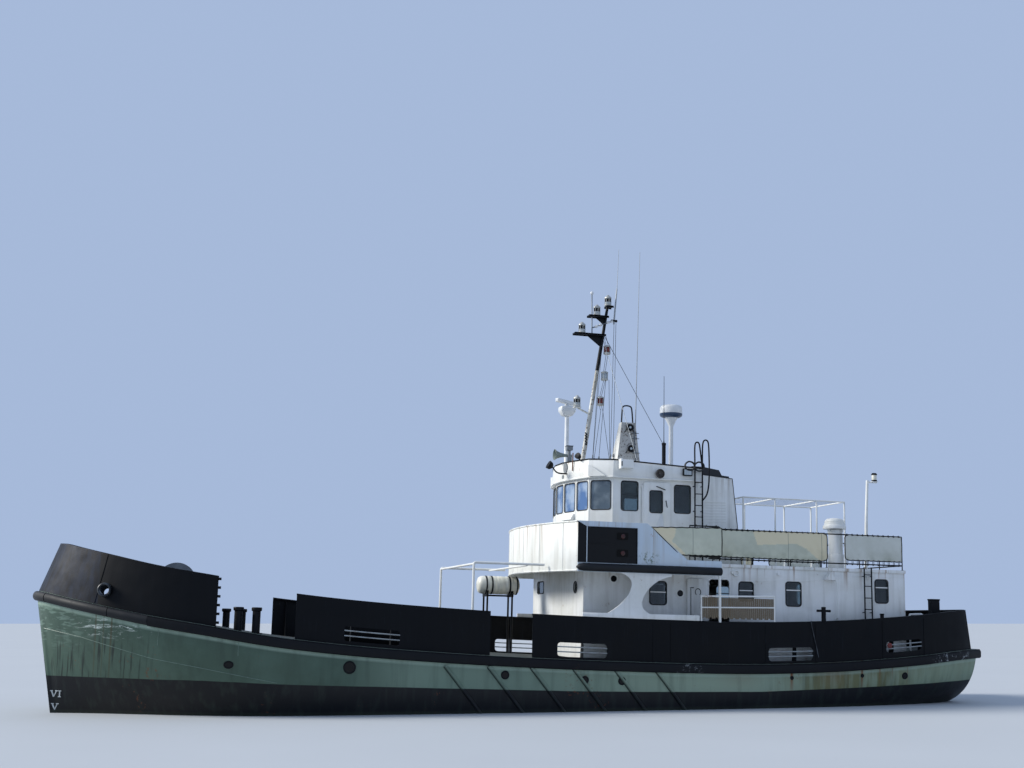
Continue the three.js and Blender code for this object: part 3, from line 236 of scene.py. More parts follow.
def lathe(profile, centre, along=(0, 0, 1), sides=32, closed=True):
    """A solid turned about an axis through centre; the profile gives (radius, distance along), and
    where it is closed, its ends are joined to the axis."""
    profile = np.asarray(profile, float)
    first, last = (end[:int(closed and end[0, 0] > 0)] * (0, 1) for end in (profile[:1], profile[-1:]))
    profile = np.vstack([first, profile, last])
    turn = Vector(along).to_track_quat("Z", "Y").to_matrix()
    angle = full_turn(sides)
    ring = np.stack([np.cos(angle), np.sin(angle), 0 * angle], -1)
    radii = np.maximum(profile[:, 0], 0.0005)
    rows = radii[:, None, None] * ring + profile[:, 1][:, None, None] * np.array((0, 0, 1.0))
    return skin(rows @ np.array(turn).T + np.asarray(centre, float))


def mirrored(shape):
    """The same shape on the other side of the vessel, its faces turned to look outward."""
    return shape[0] * (1, -1, 1), [list(f)[::-1] for f in shape[1]]


def both(shapes):
    """Port shapes with their starboard mirror images."""
    return list(shapes) + [mirrored(s) for s in shapes]


def coat(node, finish, bevel=0.005):
    """Gives a solid of the frame its finish and a small round on its sharp edges."""
    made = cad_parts[node]
    for one in made.material_slots:
        one.material = finish
    made.data.shade_smooth()
    made.modifiers.new("joined", "WELD").merge_threshold = 0.0004
    bevelled(made, bevel, 32).harden_normals = True
    return made


def rounded(x0, x1, z0, z1, r, steps=5):
    """Outline of a rectangle with round corners, anticlockwise."""
    arc = np.linspace(0, np.pi / 2, steps)
    corners = ((x1 - r, z0 + r, -0.5), (x1 - r, z1 - r, 0), (x0 + r, z1 - r, 0.5), (x0 + r, z0 + r, 1))
    return np.concatenate([np.c_[x + r * np.cos(arc + q * np.pi), z + r * np.sin(arc + q * np.pi)]
                           for x, z, q in corners])


def circle(x, z, r, steps=24):
    """Outline of a circle, anticlockwise."""
    turn = full_turn(steps)
    return np.c_[x + r * np.cos(turn), z + r * np.sin(turn)]


def within(points, outline):
    """Which points lie inside an outline: an odd number of its edges pass to their right."""
    a, b = outline, np.roll(outline, -1, axis=0)
    u, v = points[:, None, 0], points[:, None, 1]
    passes = (a[:, 1] > v) != (b[:, 1] > v)
    rise = np.where(b[:, 1] == a[:, 1], 1, b[:, 1] - a[:, 1])
    return (passes & (u < a[:, 0] + (v - a[:, 1]) * (b[:, 0] - a[:, 0]) / rise)).sum(axis=1) % 2 == 1


def cut_sheet(outline, holes, lines):
    """Triangles of a flat outline with holes, split along extra lines, as (points, faces)."""
    loops = [np.asarray(outline, float), *[np.asarray(h, float) for h in holes]]
    points, edges = [], []
    for loop in loops:
        first = len(points)
        points += loop.tolist()
        edges += [(first + i, first + (i + 1) % len(loop)) for i in range(len(loop))]
    for a, b in lines:
        edges.append((len(points), len(points) + 1))
        points += [list(a), list(b)]
    found = delaunay_2d_cdt([Vector(p) for p in points], edges, [], 0, 1e-5)
    flat = np.array([tuple(v) for v in found[0]])
    faces = np.array([f for f in found[2]])
    middle = flat[faces].mean(axis=1)
    keep = within(middle, loops[0])
    for hole in loops[1:]:
        keep &= ~within(middle, hole)
    return flat, faces[keep]


def plate(outline, place, low, high, holes=(), lines=()):
    """A plate with a flat outline: place(points, offset) puts its two skins at offsets low and high,
    and walls join them along every edge that has one face."""
    flat, faces = cut_sheet(outline, holes, lines)
    n = len(flat)
    area = flat[faces]
    turn = np.cross(area[:, 1] - area[:, 0], area[:, 2] - area[:, 0])
    faces = np.where((turn < 0)[:, None], faces[:, ::-1], faces)
    edges = np.concatenate([faces[:, [0, 1]], faces[:, [1, 2]], faces[:, [2, 0]]])
    pairs = {tuple(e) for e in edges.tolist()}
    rim = [e for e in edges.tolist() if (e[1], e[0]) not in pairs]
    points = np.concatenate([place(flat, low), place(flat, high)])
    walls = [[a, b, b + n, a + n] for a, b in rim]
    return points, faces[:, ::-1].tolist() + (faces + n).tolist() + walls


def beside(y):
    """Places (x, z) points on the port side at a distance y from the centreline, offset outward."""
    return lambda flat, off: np.c_[flat[:, 0], np.full(len(flat), -y - off), flat[:, 1]]


# Hull: welded steel plating under enamel, green above a black boot top, red lead below the water.
# Years of berthing show as blotches, runs of dirt, rust weeping from scuppers, and scuffed paint.
def patchy(tree, place, scale, detail, cut, stretch=None, **noise):
    """A factor from noise in stretched space: it goes from 0 to 1 between the two levels in cut, or
    between the values that follow them there."""
    if stretch:
        place = add(tree, "VectorMath", {0: place, 1: stretch}, operation="MULTIPLY")
    value = add(tree, "TexNoise", {"Vector": place, "Scale": scale, "Detail": detail, **noise})
    return add(tree, "MapRange", {0: value, **dict(enumerate(cut, 1))})


def rising(tree, place, axis, start, end, most=1.0):
    """A factor that goes from 0 at start to most at end along one axis."""
    along = add(tree, "SeparateXYZ", {0: place}, axis)
    return add(tree, "MapRange", {0: along, 1: start, 2: end, 4: most})


def about(tree, place, axis, middle, far, near, most=1.0):
    """A factor that goes from 0 to most as the distance along an axis from middle goes from far to near."""
    off = add(tree, "SeparateXYZ", {0: place}, axis)
    off = add(tree, "Math", {0: off, 1: middle}, operation="SUBTRACT")
    off = add(tree, "Math", {0: off}, operation="ABSOLUTE")
    return add(tree, "MapRange", {0: off, 1: far, 2: near, 4: most})


def round_point(tree, place, point, scale, core):
    """A factor that is 0 outside an ellipsoid round a point, with half axes of one over scale, and 1
    in the part of it given by core."""
    off = add(tree, "VectorMath", {0: place, 1: point}, operation="SUBTRACT")
    off = add(tree, "VectorMath", {0: off, 1: scale}, operation="MULTIPLY")
    off = add(tree, "VectorMath", {0: off}, "Value", operation="LENGTH")
    return add(tree, "MapRange", {0: off, 1: 1.0, 2: core})


def marked(tree, name):
    """What the mesh says at each point under a name."""
    return add(tree, "Attribute", {}, "Fac", attribute_name=name)


def steel_paint(name, fresh, worn, stain, rust="6e3a1c", runs=0.5, specks=0.5, top=None, reach=0.6,
                gloss=(0.32, 0.55), zone=None, **shader):
    """Enamel on steel plate: metre-wide blotches of worn paint, vertical runs of dirt a hand wide,
    rust spots the size of a coin, and rust runs that hang down from height top for reach metres.
    Orange peel and slightly buckled plate show in its relief."""
    def build(tree, place):
        blotch = add(tree, "TexNoise", {"Vector": place, "Scale": 0.9, "Detail": 6.0, "Roughness": 0.62})
        base = laid(tree, fresh, worn, add(tree, "MapRange", {0: blotch, 1: 0.4, 2: 0.62}))
        if zone:
            base = zone(tree, place, base, blotch)
        base = laid(tree, base, stain, patchy(tree, place, 1.0, 5.0, (0.5, 0.74, 0, runs), (6.0, 6.0, 0.4)))
        spot = add(tree, "TexNoise", {"Vector": place, "Scale": 11.0, "Detail": 7.0, "Roughness": 0.7})
        spot = add(tree, "Math", {0: spot, 1: blotch}, operation="MULTIPLY")
        base = laid(tree, base, rust, add(tree, "MapRange", {0: spot, 1: 0.375, 2: 0.41, 4: specks}))
        if top is not None:
            base = laid(tree, base, "8a6a44", patchy(tree, place, 1.0, 3.0, (0.56, 0.7), (11.0, 11.0, 0.35)),
                        rising(tree, place, "Z", top - reach, top, 0.75))
        rough = add(tree, "MapRange", {0: blotch, 1: 0.35, 2: 0.65, 3: gloss[0], 4: gloss[1]})
        peel = add(tree, "TexNoise", {"Vector": place, "Scale": 60.0, "Detail": 2.0})
        buckle = add(tree, "TexNoise", {"Vector": place, "Scale": 1.7, "Detail": 1.0})
        height = add(tree, "Math", {0: buckle, 1: 12.0, 2: peel}, operation="MULTIPLY_ADD")
        return base, rough, height, 0.0016
    return surface(name, build, **shader)


def hull_zones(tree, place, base, blotch):
    """Green fades paler aft of midships, scrapes of bare primer lie under the bow rubber, and the
    boot top, the water's slime and the bottom's red lead follow the mesh's own heights. Painted
    highlights lighten the crumpled plate near the stem top and a strip just under the belting, and
    painted shadow darkens the lower forward side of each rubbing bar."""
    drip = add(tree, "VectorMath", {0: place, 1: (5.0, 1.0, 0.6)}, operation="MULTIPLY")
    drip = add(tree, "TexNoise", {"Vector": drip, "Scale": 1.0, "Detail": 5.0})
    for start, end, most, shade, least in ((-5.0, -3.5, 0.75, "7c917f", 1), (-1.0, 4.0, 0.8, "97a790", 1),
                                           (5.6, 7.0, 0.95, "6d6f4b", 0.35), (9.0, 10.2, 0.75, "8b9c84", 1)):
        base = laid(tree, base, shade, rising(tree, place, "X", start, end, most),
                    add(tree, "MapRange", {0: drip, 1: 0.42, 2: 0.56, 3: least}))
    # Painted highlight: paler streaks on the crumpled plate near the stem top, where light would catch the
    # crumples.
    skewed = add(tree, "Mapping", {"Vector": place, "Rotation": (0, -0.9, 0), "Scale": (1.0, 1.0, 4.5)})
    base = laid(tree, base, "8ca596", patchy(tree, skewed, 3.2, 6.0, (0.52, 0.62, 0, 0.4)),
                rising(tree, place, "X", -10.6, -11.3), rising(tree, place, "Z", 1.1, 1.8))
    # Painted highlight: a pale strip on the hull just under the belting.
    base = laid(tree, base, "a9c0ae",
                add(tree, "MapRange", {0: marked(tree, "below_belt"), 1: -0.085, 2: -0.035, 4: 0.55}))
    skewed = add(tree, "Mapping", {"Vector": place, "Rotation": (0, 0.7, 0), "Scale": (1.2, 1.0, 7.0)})
    base = laid(tree, base, "dbe5dc",
                patchy(tree, skewed, 1.6, 6.0, (0.55, 0.6, 0, 0.8), Roughness=0.75, Distortion=1.1),
                round_point(tree, place, (-10.33, -2.0, 1.77), (0.9, 0.6, 3.4), 0.55))
    base = laid(tree, base, "26302a", patchy(tree, place, 1.0, 4.0, (0.56, 0.63, 0, 0.9), (13.0, 1.0, 0.5)),
                rising(tree, place, "X", -9.2, -9.9), rising(tree, place, "Z", 1.75, 1.3))
    for shade, streaks in (
            ("7a4a22",
             ((6.32, 0.06, 0.95, 0.5, 1.0), (7.5, 0.6, 1.15, 0.6, 0.4), (8.34, 0.05, 1.0, 0.45, 0.9),
              (8.87, 0.03, 1.1, 0.4, 0.7), (9.25, 0.03, 1.12, 0.3, 0.5), (9.72, 0.02, 1.0, 0.3, 0.5),
              (4.9, 0.7, 1.0, 0.5, 0.2))),
            ("453c22",
             ((-10.36, 0.03, 1.35, 1.4, 0.7), (-10.54, 0.02, 1.2, 0.9, 0.5),
              (-10.72, 0.025, 1.3, 1.2, 0.6)))):
        for x, width, z, reach, most in streaks:
            base = laid(tree, base, shade, about(tree, place, "X", x, width, 0.2 * width, most),
                        rising(tree, place, "Z", z - reach, z))
    # Painted shadow: a dark green band along the lower forward side of each rubbing bar.
    base = laid(tree, base, "1a2520", marked(tree, "bar_painted_shadow"))
    wavy = add(tree, "Math", {0: blotch, 1: 0.02, 2: marked(tree, "above_boot")}, operation="MULTIPLY_ADD")
    base = laid(tree, "05080e", base, add(tree, "MapRange", {0: wavy, 1: 0.004, 2: 0.016}))
    afloat = marked(tree, "above_water")
    base = laid(tree, base, "3c4636", add(tree, "MapRange", {0: afloat, 1: 0.10, 2: 0.01, 4: 0.8}), blotch)
    return laid(tree, base, "5a2e24", add(tree, "MapRange", {0: afloat, 1: 0.0, 2: -0.05}))


hull_enamel = steel_paint("hull enamel", "43584a", "4d6355", "2f3d34", runs=0.35, specks=0.5,
                          zone=hull_zones, Specular_IOR_Level=0.35)
# The deck paint is made dark so that the deck seen through the freeing ports reads dark: painted shade.
deck_paint_dark_as_shade = steel_paint("deck paint dark as shade", "2c3330", "3a413d", "22262a", runs=0.0, specks=0.7, gloss=(0.7, 0.9))
black_enamel = steel_paint("black enamel", "07090d", "0b0e13", "15191e", rust="38261e", runs=0.2, specks=0.4,
                           gloss=(0.4, 0.6), Specular_IOR_Level=0.2)

# Rows of the hull, metres: x at the deck edge, half breadth and height there, lowest point, then
# fullness of the section and how far x leans with each metre of height below the strake.
HULL = np.array([(-12.15, 0.09, 2.6, -0.76, 1.0, -0.184), (-12.05, 0.44, 2.585, -1.08, 0.72, -0.184),
                 (-11.85, 0.8, 2.545, -1.33, 0.76, -0.184), (-11.4, 1.27, 2.44, -1.5, 0.84, -0.17),
                 (-10.65, 1.86, 2.285, -1.59, 0.98, -0.14), (-9.6, 2.36, 2.085, -1.62, 1.22, -0.1),
                 (-8.3, 2.74, 1.89, -1.63, 1.6, -0.05), (-6.5, 2.98, 1.635, -1.63, 2.1, -0.02),
                 (-4.2, 3.06, 1.445, -1.63, 2.5, 0), (-1, 3.08, 1.3, -1.63, 2.7, 0),
                 (2.2, 3.08, 1.228, -1.62, 2.7, 0), (5.2, 3.07, 1.222, -1.55, 2.5, 0),
                 (7.5, 3.02, 1.305, -1.18, 2.25, 0), (9.2, 2.93, 1.43, -0.64, 2.1, 0),
                 (10.3, 2.8, 1.53, -0.37, 2.1, 0), (11.2, 2.63, 1.635, -0.15, 2.2, 0.08),
                 (11.8, 2.43, 1.69, 0.02, 2.3, 0.15), (12.16, 2.26, 1.715, 0.14, 2.4, 0.2)])
STRAKE = 0.26

row_at = np.linspace(0, len(HULL) - 1, 8 * (len(HULL) - 1) + 1)
before = np.minimum(row_at.astype(int), len(HULL) - 2)
past = (row_at - before)[:, None]
a, b, c, d = (HULL[np.clip(before + k, 0, len(HULL) - 1)] for k in (-1, 0, 1, 2))
ROWS = b + 0.5 * past * (c - a + past * (2 * a - 5 * b + 4 * c - d + past * (3 * (b - c) + d - a)))


def row(x):
    """Half breadth, deck height, lowest point, fullness and lean at stations x."""
    return [np.interp(x, ROWS[:, 0], ROWS[:, k]) for k in range(1, 6)]


def section(x, half, deck, low, full, lean, part):
    """Points of the starboard side at parts of the way up from the keel to the strake: the breadth
    is a superellipse of the height, and x leans with the height."""
    strake = deck - STRAKE
    breadth = half * (1 - (1 - part) ** full) ** (1 / full)
    z = low + (strake - low) * part
    return np.stack([x + lean * (z - strake), np.maximum(breadth, 0.063), z], -1)


def on_hull(x, z, out=0.0):
    """Points of the port side at x and z, a little way outboard."""
    x, z = np.broadcast_arrays(np.asarray(x, float), np.asarray(z, float))
    station = x
    for _ in range(6):
        half, deck, low, full, lean = row(station)
        station = x - lean * (z - deck + STRAKE)
    part = np.clip((z - low) / (deck - STRAKE - low), 0, 1)
    breadth = half * (1 - (1 - part) ** full) ** (1 / full)
    return np.stack([x, -breadth - out, z], -1)


def tell(made, name, values):
    """Writes a number for each point of a piece's mesh under a name, for its material to read."""
    made.data.attributes.new(name, "FLOAT", "POINT").data.foreach_set("value", values)


parts_up = np.linspace(0, 1, 27) ** 1.5
side = section(*(ROWS[:, k, None] for k in range(6)), parts_up[None])
x, half, deck = ROWS[:, 0], ROWS[:, 1], ROWS[:, 2]
crown = deck + 0.05 * half / 3.08
top = np.stack([np.stack([x, half, deck], -1), np.stack([x, np.maximum(half - 0.13, half / 2), deck], -1),
                np.stack([x, half * 0.25, crown - 0.012 * half / 3.08], -1),
                np.stack([x, 0 * x + 0.001, crown], -1)], 1)
starboard = np.concatenate([side, top], 1)
ring = np.concatenate([starboard, starboard[:, ::-1] * (1, -1, 1)], 1)
points, faces = skin(ring, ends=False)
n = ring.shape[1]
stem = [[j, j + 1, n - 2 - j, n - 1 - j] for j in range(n // 2 - 1)]
stern = [[f + (len(ROWS) - 1) * n for f in quad[::-1]] for quad in stem]
keel = plate([(-11.15, -1.2), (-10.5, -1.73), (10.42, -1.73), (10.42, -1.65), (9.3, -1.65), (9.3, -1.25),
              (9.38, -1.0), (9.38, -0.3), (7.0, -0.7), (-10.0, -1.2)], beside(0), -0.07, 0.07)
boss = lathe([(0.13, 0), (0.12, 0.42), (0.11, 0.48), (0.045, 0.48)], (8.9, 0, -1.13), (1, 0, 0), 28,
             closed=False)
down = np.linspace(0, 1, 15)
bars = [tube(on_hull(-2.684 + 1.06 * i + 0.94 * down, 1.06 - 1.12 * down, 0.012), 0.045, 8)
        for i in range(6)]
hull = piece("hull_plating", [(points, faces + stem + stern), keel, boss, *both(bars)],
             [hull_enamel, deck_paint_dark_as_shade], smooth=40, stands_for="hull", slot="hull_paint")
mesh = hull.data
place = np.empty(len(mesh.vertices) * 3)
mesh.vertices.foreach_get("co", place)
x, y, z = place.reshape(-1, 3).T
boot_top = np.interp(x, (-12.2, -8.3, -6.1, -3.3, 0.2, 2.2, 5.4, 8.2, 10.5, 12.3),
                     (0.6, 0.62, 0.568, 0.544, 0.513, 0.511, 0.545, 0.675, 0.804, 0.92))
tell(hull, "below_belt", z - row(x)[1] + STRAKE)
tell(hull, "above_boot", z - boot_top)
tell(hull, "above_water", z * np.cos(TRIM) - x * np.sin(TRIM))
# Painted shadow for the rubbing bars: they are the last rings of the hull mesh, and five of the eight points
# round each ring, on the lower forward side, get a weight that darkens the paint there.
bar_shadow_weights = 0 * x
bar_shadow_weights[-2 * len(bars) * 15 * 8:] = np.tile((0.3, 0.85, 0.95, 0.85, 0.3, 0, 0, 0), 2 * len(bars) * 15)
tell(hull, "bar_painted_shadow", bar_shadow_weights)
centres = np.empty(len(mesh.polygons) * 3)
mesh.polygons.foreach_get("center", centres)
normals = np.empty(len(mesh.polygons) * 3)
mesh.polygons.foreach_get("normal", normals)
decked = (normals[2::3] > 0.9) & (centres[2::3] > 1.2)
mesh.polygons.foreach_set("material_index", decked.astype(np.int32))


# Fittings on the hull: portholes and scuppers, weld beads, and draught marks welded on at the stem.
def finish(name, first, second, scale=3.0, rough=(0.3, 0.5), depth=0.0006, grain=60.0, **shader):
    """Two close colours in clouds, roughness that follows them, and a fine relief."""
    def build(tree, place):
        cloud = add(tree, "TexNoise", {"Vector": place, "Scale": scale, "Detail": 6.0, "Roughness": 0.6})
        base = laid(tree, first, second, add(tree, "MapRange", {0: cloud, 1: 0.38, 2: 0.64}))
        fine = add(tree, "TexNoise", {"Vector": place, "Scale": grain, "Detail": 3.0})
        even = add(tree, "MapRange", {0: cloud, 1: 0.3, 2: 0.7, 3: rough[0], 4: rough[1]})
        return base, even, fine, depth
    return surface(name, build, **shader)


dark_glass = finish("deadlight glass", "040507", "090c0f", scale=1.2, rough=(0.08, 0.15), depth=0.0001,
                    grain=8.0, Specular_IOR_Level=0.25)
marking_white = finish("marking paint", "c9cfcf", "a9b0b0", scale=9.0, rough=(0.45, 0.6))
rubber = finish("black rubber", "0f1114", "1d2022", scale=5.0, rough=(0.55, 0.8), depth=0.002, grain=25.0)

around = full_turn(28)
rims, panes = [], []
for x, z, r, wide in ((-7.7, 0.995, 0.07, 1.35), (-4.943, 0.987, 0.13, 1), (-1.2, 0.869, 0.085, 1),
                      (0.81, 0.778, 0.08, 1), (1.76, 0.766, 0.08, 1), (9.637, 0.99, 0.07, 1),
                      (6.325, 0.9, 0.03, 1), (8.345, 0.98, 0.03, 1)):
    ring_x, ring_z = x + r * wide * np.cos(around), z + r * np.sin(around)
    rims.append(tube(on_hull(ring_x, ring_z, 0.006), 0.02, 8, shut=True))
    panes.append(plate(np.c_[ring_x, ring_z], lambda flat, off: on_hull(flat[:, 0], flat[:, 1], off), -0.03,
                       0.014))
piece("hull_porthole_rims", both(rims), black_enamel)
piece("hull_porthole_glass", both(panes), dark_glass)

seams = []
for xs, zs in (((-11.95, -11.07, -9.45, -8.32, -7.42, -6.58), (1.72, 1.54, 1.1, 0.91, 0.75, 0.6)),
               ((-9.3, -9.31), (1.74, 1.4)), ((-7.51, -7.5), (1.5, 1.2))):
    at = np.linspace(0, len(xs) - 1, 40)
    seams.append(tube(on_hull(np.interp(at, range(len(xs)), xs), np.interp(at, range(len(zs)), zs), 0.0),
                      0.007, 6))
piece("hull_weld_beads", both(seams), finish("dusty weld", "5b7064", "6f8578", scale=7.0))


def stroke(a, b, width):
    """Outline of a straight stroke between two (x, z) points, with square ends."""
    a, b = np.asarray(a, float), np.asarray(b, float)
    way = (b - a) / np.linalg.norm(b - a)
    out = np.array((way[1], -way[0])) * width / 2
    steps = np.linspace(0, 1, 4)[:, None]
    return np.concatenate([a + out + (b - a) * steps, b - out + (a - b) * steps])


STROKES = {"V": ((0, 0.15, 0.06, 0, 0.034), (0.06, 0, 0.12, 0.15, 0.02), (-0.03, 0.145, 0.035, 0.145, 0.02),
                 (0.085, 0.145, 0.15, 0.145, 0.02)),
           "I": ((0.02, 0, 0.02, 0.15, 0.03), (-0.015, 0.145, 0.055, 0.145, 0.02),
                 (-0.015, 0.006, 0.055, 0.006, 0.02))}
marks = []
for left, low, letters in ((-11.63, -0.203, "V"), (-11.67, 0.102, "VI")):
    strokes, start = [], left
    for letter in letters:
        strokes += [stroke((left + x0, low + z0), (left + x1, low + z1), width)
                    for x0, z0, x1, z1, width in STROKES[letter]]
        left += 0.175
    for flat in strokes:
        turned = np.c_[2 * start + (0.12 if letters == "V" else 0.23) - flat[:, 0], flat[:, 1]]
        on_port, on_starboard = (plate(m, lambda at, off: on_hull(at[:, 0], at[:, 1], off), -0.004, 0.016)
                                 for m in (flat, turned))
        marks += [on_port, mirrored(on_starboard)]
piece("draught_marks", marks, marking_white)


# Belting: a steel box section round both sides and the stern; a rubber D section round the bow in
# three lengths, butted at the stem's shoulders.
def edge(x0, x1, step=0.14):
    """Points of the port deck edge from x0 to x1."""
    xs = np.linspace(x0, x1, max(2, int(round((x1 - x0) / step)) + 1))
    half, deck = row(xs)[:2]
    return np.stack([xs, -half, deck], -1)


def other_side(path):
    """A port path followed the other way along the starboard side."""
    return path[::-1] * (1, -1, 1)


def outward(path):
    """Directions to the right of a path's own way in plan, lengthened at its corners."""
    way = np.diff(path[:, :2], axis=0)
    right = np.stack([way[:, 1], -way[:, 0]], -1) / np.linalg.norm(way, axis=1)[:, None]
    first, last = np.vstack([right[:1], right]), np.vstack([right, right[-1:]])
    return (first + last) / (1 + (first * last).sum(axis=1))[:, None]


def fore_lean(x):
    """How far the forward bulwark leans aft with each metre of height, most at the stem."""
    return 0.36 * np.clip((-9 - x) / 3.15, 0, 1)


def aft_lean(x):
    """How far the aft bulwark leans forward with each metre of height, at the quarters and stern."""
    return -0.18 * np.clip((x - 11.8) / 0.17, 0, 1)


def carried(path, outline, lean=None):
    """A bar whose outline of (outward, up) corners is carried along a path."""
    out, up = np.asarray(outline, float).T
    normal = outward(path)
    tilt = lean(path[:, :1]) if lean else 0
    rows = np.stack([path[:, :1] + normal[:, :1] * out + tilt * up, path[:, 1:2] + normal[:, 1:] * out,
                     path[:, 2:] + up], -1)
    return skin(rows)


def flaked_zone(tree, place, base, blotch):
    """White flakes of an old coat a finger long, left on the box near the stern and amidships."""
    flake = patchy(tree, place, 9.0, 7.0, (0.56, 0.6), Roughness=0.8)
    for x, reach, most in ((11.1, 0.7, 0.9), (3.5, 0.4, 0.5)):
        base = laid(tree, base, "aab0b2", about(tree, place, "X", x, reach, 0.6 * reach, most), flake)
    return base


belting_paint = steel_paint("belting enamel", "07090e", "0b0e13", "191d21", rust="33231b", runs=0.15,
                            specks=0.6, gloss=(0.42, 0.65), zone=flaked_zone, Specular_IOR_Level=0.22)
u_path = edge(-9.54, 12.16)
u_path = np.vstack([u_path, other_side(u_path)])
belt = carried(u_path,
               [(0, -0.24), (0, -0.02), (0.085, -0.02), (0.11, -0.035), (0.12, -0.065), (0.12, -0.19),
                (0.112, -0.22), (0.085, -0.24)])
cap = carried(u_path,
              [(0, -0.03), (0, -0.004), (0.09, -0.004), (0.098, -0.012), (0.098, -0.022), (0.09, -0.03)])
piece("belting_box", [belt, cap], belting_paint, stands_for="belting", slot="black_paint")

turn = np.linspace(-np.pi / 2, np.pi / 2, 11)
d_section = [(0, -0.005), (0, -0.225), *np.c_[0.03 + 0.095 * np.cos(turn), -0.115 + 0.115 * np.sin(turn)]]
after = edge(-10.43, -9.545)
fore = edge(-11.877, -10.443)
nose = edge(-12.15, -11.889, 0.04)
lengths = [carried(path, d_section)
           for path in (after, fore, np.vstack([other_side(nose), nose]), other_side(fore),
                        other_side(after))]
scuffed_rubber = steel_paint("scuffed rubber", "0b0e13", "12161b", "23282d", rust="31363b", runs=0.1,
                             specks=0.6, gloss=(0.45, 0.7), Specular_IOR_Level=0.35)
piece("bow_rubber", lengths, scuffed_rubber, stands_for="bow_fender", slot="rubber")


# Bulwarks: 12 mm plate with a flat bar along the top and brackets behind it a metre apart. Freeing
# ports are cut through at the deck with two round bars across. The nose has lost its black enamel.
def bulwark(path, height, cuts=(), lean=None):
    """Shapes of a bulwark that stands on a path: its plate, with outlines of (x, height) cut on both
    sides, the flat bar on top and the brackets; and place(points, offset) for (distance, height)."""
    apart = np.linalg.norm(np.diff(path[:, :2], axis=0), axis=1)
    along = np.concatenate([[0], np.cumsum(apart)])
    normal, port, h = outward(path), path[:, 1] < 0, height

    def place(flat, off):
        flat = np.atleast_2d(flat)
        x, y, z, out_x, out_y = (np.interp(flat[:, 0], along, v) for v in (*path.T, *normal.T))
        tilt = lean(x) * flat[:, 1] if lean else 0
        return np.stack([x + out_x * off + tilt, y + out_y * off, z + flat[:, 1]], -1)

    def at(x):
        return np.interp(x, path[port, 0], along[port])
    holes = []
    for cut in cuts:
        cut = np.c_[at(cut[:, 0]), cut[:, 1]]
        holes += [cut] if port.all() else [cut, np.c_[along[-1] - cut[:, 0], cut[:, 1]]]
    outline = np.concatenate([np.c_[along, 0 * along + 0.002], np.c_[along[::-1], 0 * along + h - 0.002]])
    lines = [((d, 0.002), (d, h - 0.002)) for d in along[1:-1]]
    shapes = [plate(outline, place, -0.016, -0.004, holes, lines),
              carried(path,
                      [(-0.002, h - 0.045), (-0.002, h - 0.004), (-0.006, h), (-0.084, h),
                       (-0.09, h - 0.006), (-0.09, h - 0.039), (-0.084, h - 0.045)], lean)]
    for d in np.arange(0.35, along[-1] - 0.2, 0.95):
        foot = [(-0.016, 0.002), (-0.27, 0.002), (-0.25, 0.05), (-0.08, h - 0.046), (-0.016, h - 0.046)]
        shapes.append(skin(np.array(
                [[place((d + side, up), off)[0] for off, up in foot] for side in (-0.006, 0.006)])))
    return shapes, place, at


def pair(name, shapes, finish, body="ship", stands_for="", **more):
    """A port piece and its starboard mirror image. A name, body or solid that each side has of its own
    is given without the side."""
    for side_name, of_side in (("port", lambda shape: shape), ("starboard", mirrored)):
        piece(name + side_name, [of_side(s) for s in shapes], finish,
              body + side_name if body.endswith("_") else body,
              stands_for=stands_for and stands_for + side_name, **more)


def nose_zone(tree, place, base, blotch):
    """The nose ahead of the seam has lost its black and weathered to blotched grey primer."""
    worn = patchy(tree, place, 1.6, 8.0, (0.4, 0.62), (3.0, 3.0, 0.8), Roughness=0.7)
    return laid(tree, base, laid(tree, "060c16", "152133", worn), rising(tree, place, "X", -10.70, -10.73))


def scratch_zone(tree, place, base, blotch):
    """Fine upright scratches and scuffs from fenders and lines that were hauled over the plate."""
    return laid(tree, base, "181d24", patchy(tree, place, 1.0, 5.0, (0.62, 0.7, 0, 0.55), (26.0, 1.0, 1.3)))


fore_enamel, side_enamel = (
    steel_paint(name, "04060a", "070a0f", "11151b", rust="241c17", runs=runs, specks=0.25,
                gloss=(0.45, 0.65), zone=zone, Specular_IOR_Level=0.16)
    for name, runs, zone in (("bulwark enamel forward", 0.2, nose_zone),
                             ("bulwark enamel", 0.22, scratch_zone)))
worn_ring = finish("rubbed black steel", "14181d", "4a5157", scale=6.0, rough=(0.35, 0.55),
                   Specular_IOR_Level=0.4)
grey_steel = steel_paint("grey steel enamel", "6b7176", "7c8286", "55595c", rust="5a3a26", runs=0.3,
                         specks=0.6, gloss=(0.5, 0.7))

path = edge(-12.15, -8.04)
shapes, place, at = bulwark(np.vstack([other_side(path), path]), 1.165, [circle(-10.625, 0.365, 0.135, 20)],
                            fore_lean)
square = np.array((-0.06, -0.32, 0)) / np.hypot(0.06, 0.32)
middle = np.array((-10.575, -1.93, 2.64))
collar = lathe([(0.112, -0.075), (0.135, -0.085), (0.158, -0.075), (0.163, -0.045), (0.163, 0.045),
                (0.158, 0.075), (0.135, 0.09), (0.112, 0.075), (0.108, 0.05), (0.108, -0.05)], middle,
               square, 36, closed=False)
collar = collar[0], skin(collar[0].reshape(10, 36, 3), shut=True)[1]
end = row(-8.0)[1]
frames = [box(-8.05, -7.97, -2.79, -2.74, end + h - 0.03, end + h + 0.03) for h in np.linspace(0.1, 1.1, 6)]
frames.append(box(-8.05, -8.035, -2.80, -2.60, end + 0.002, end + 1.14))
seam = tube(place(np.c_[np.full(9, at(-10.79)), np.linspace(0.01, 1.15, 9)], -0.003), 0.009, 6)
piece("bulwark_forward_plate", [*shapes, *both([*frames, seam])], fore_enamel, stands_for="bulwark_forward",
      slot="black_paint")
piece("fairlead_rings", both([collar]), worn_ring, smooth=50)

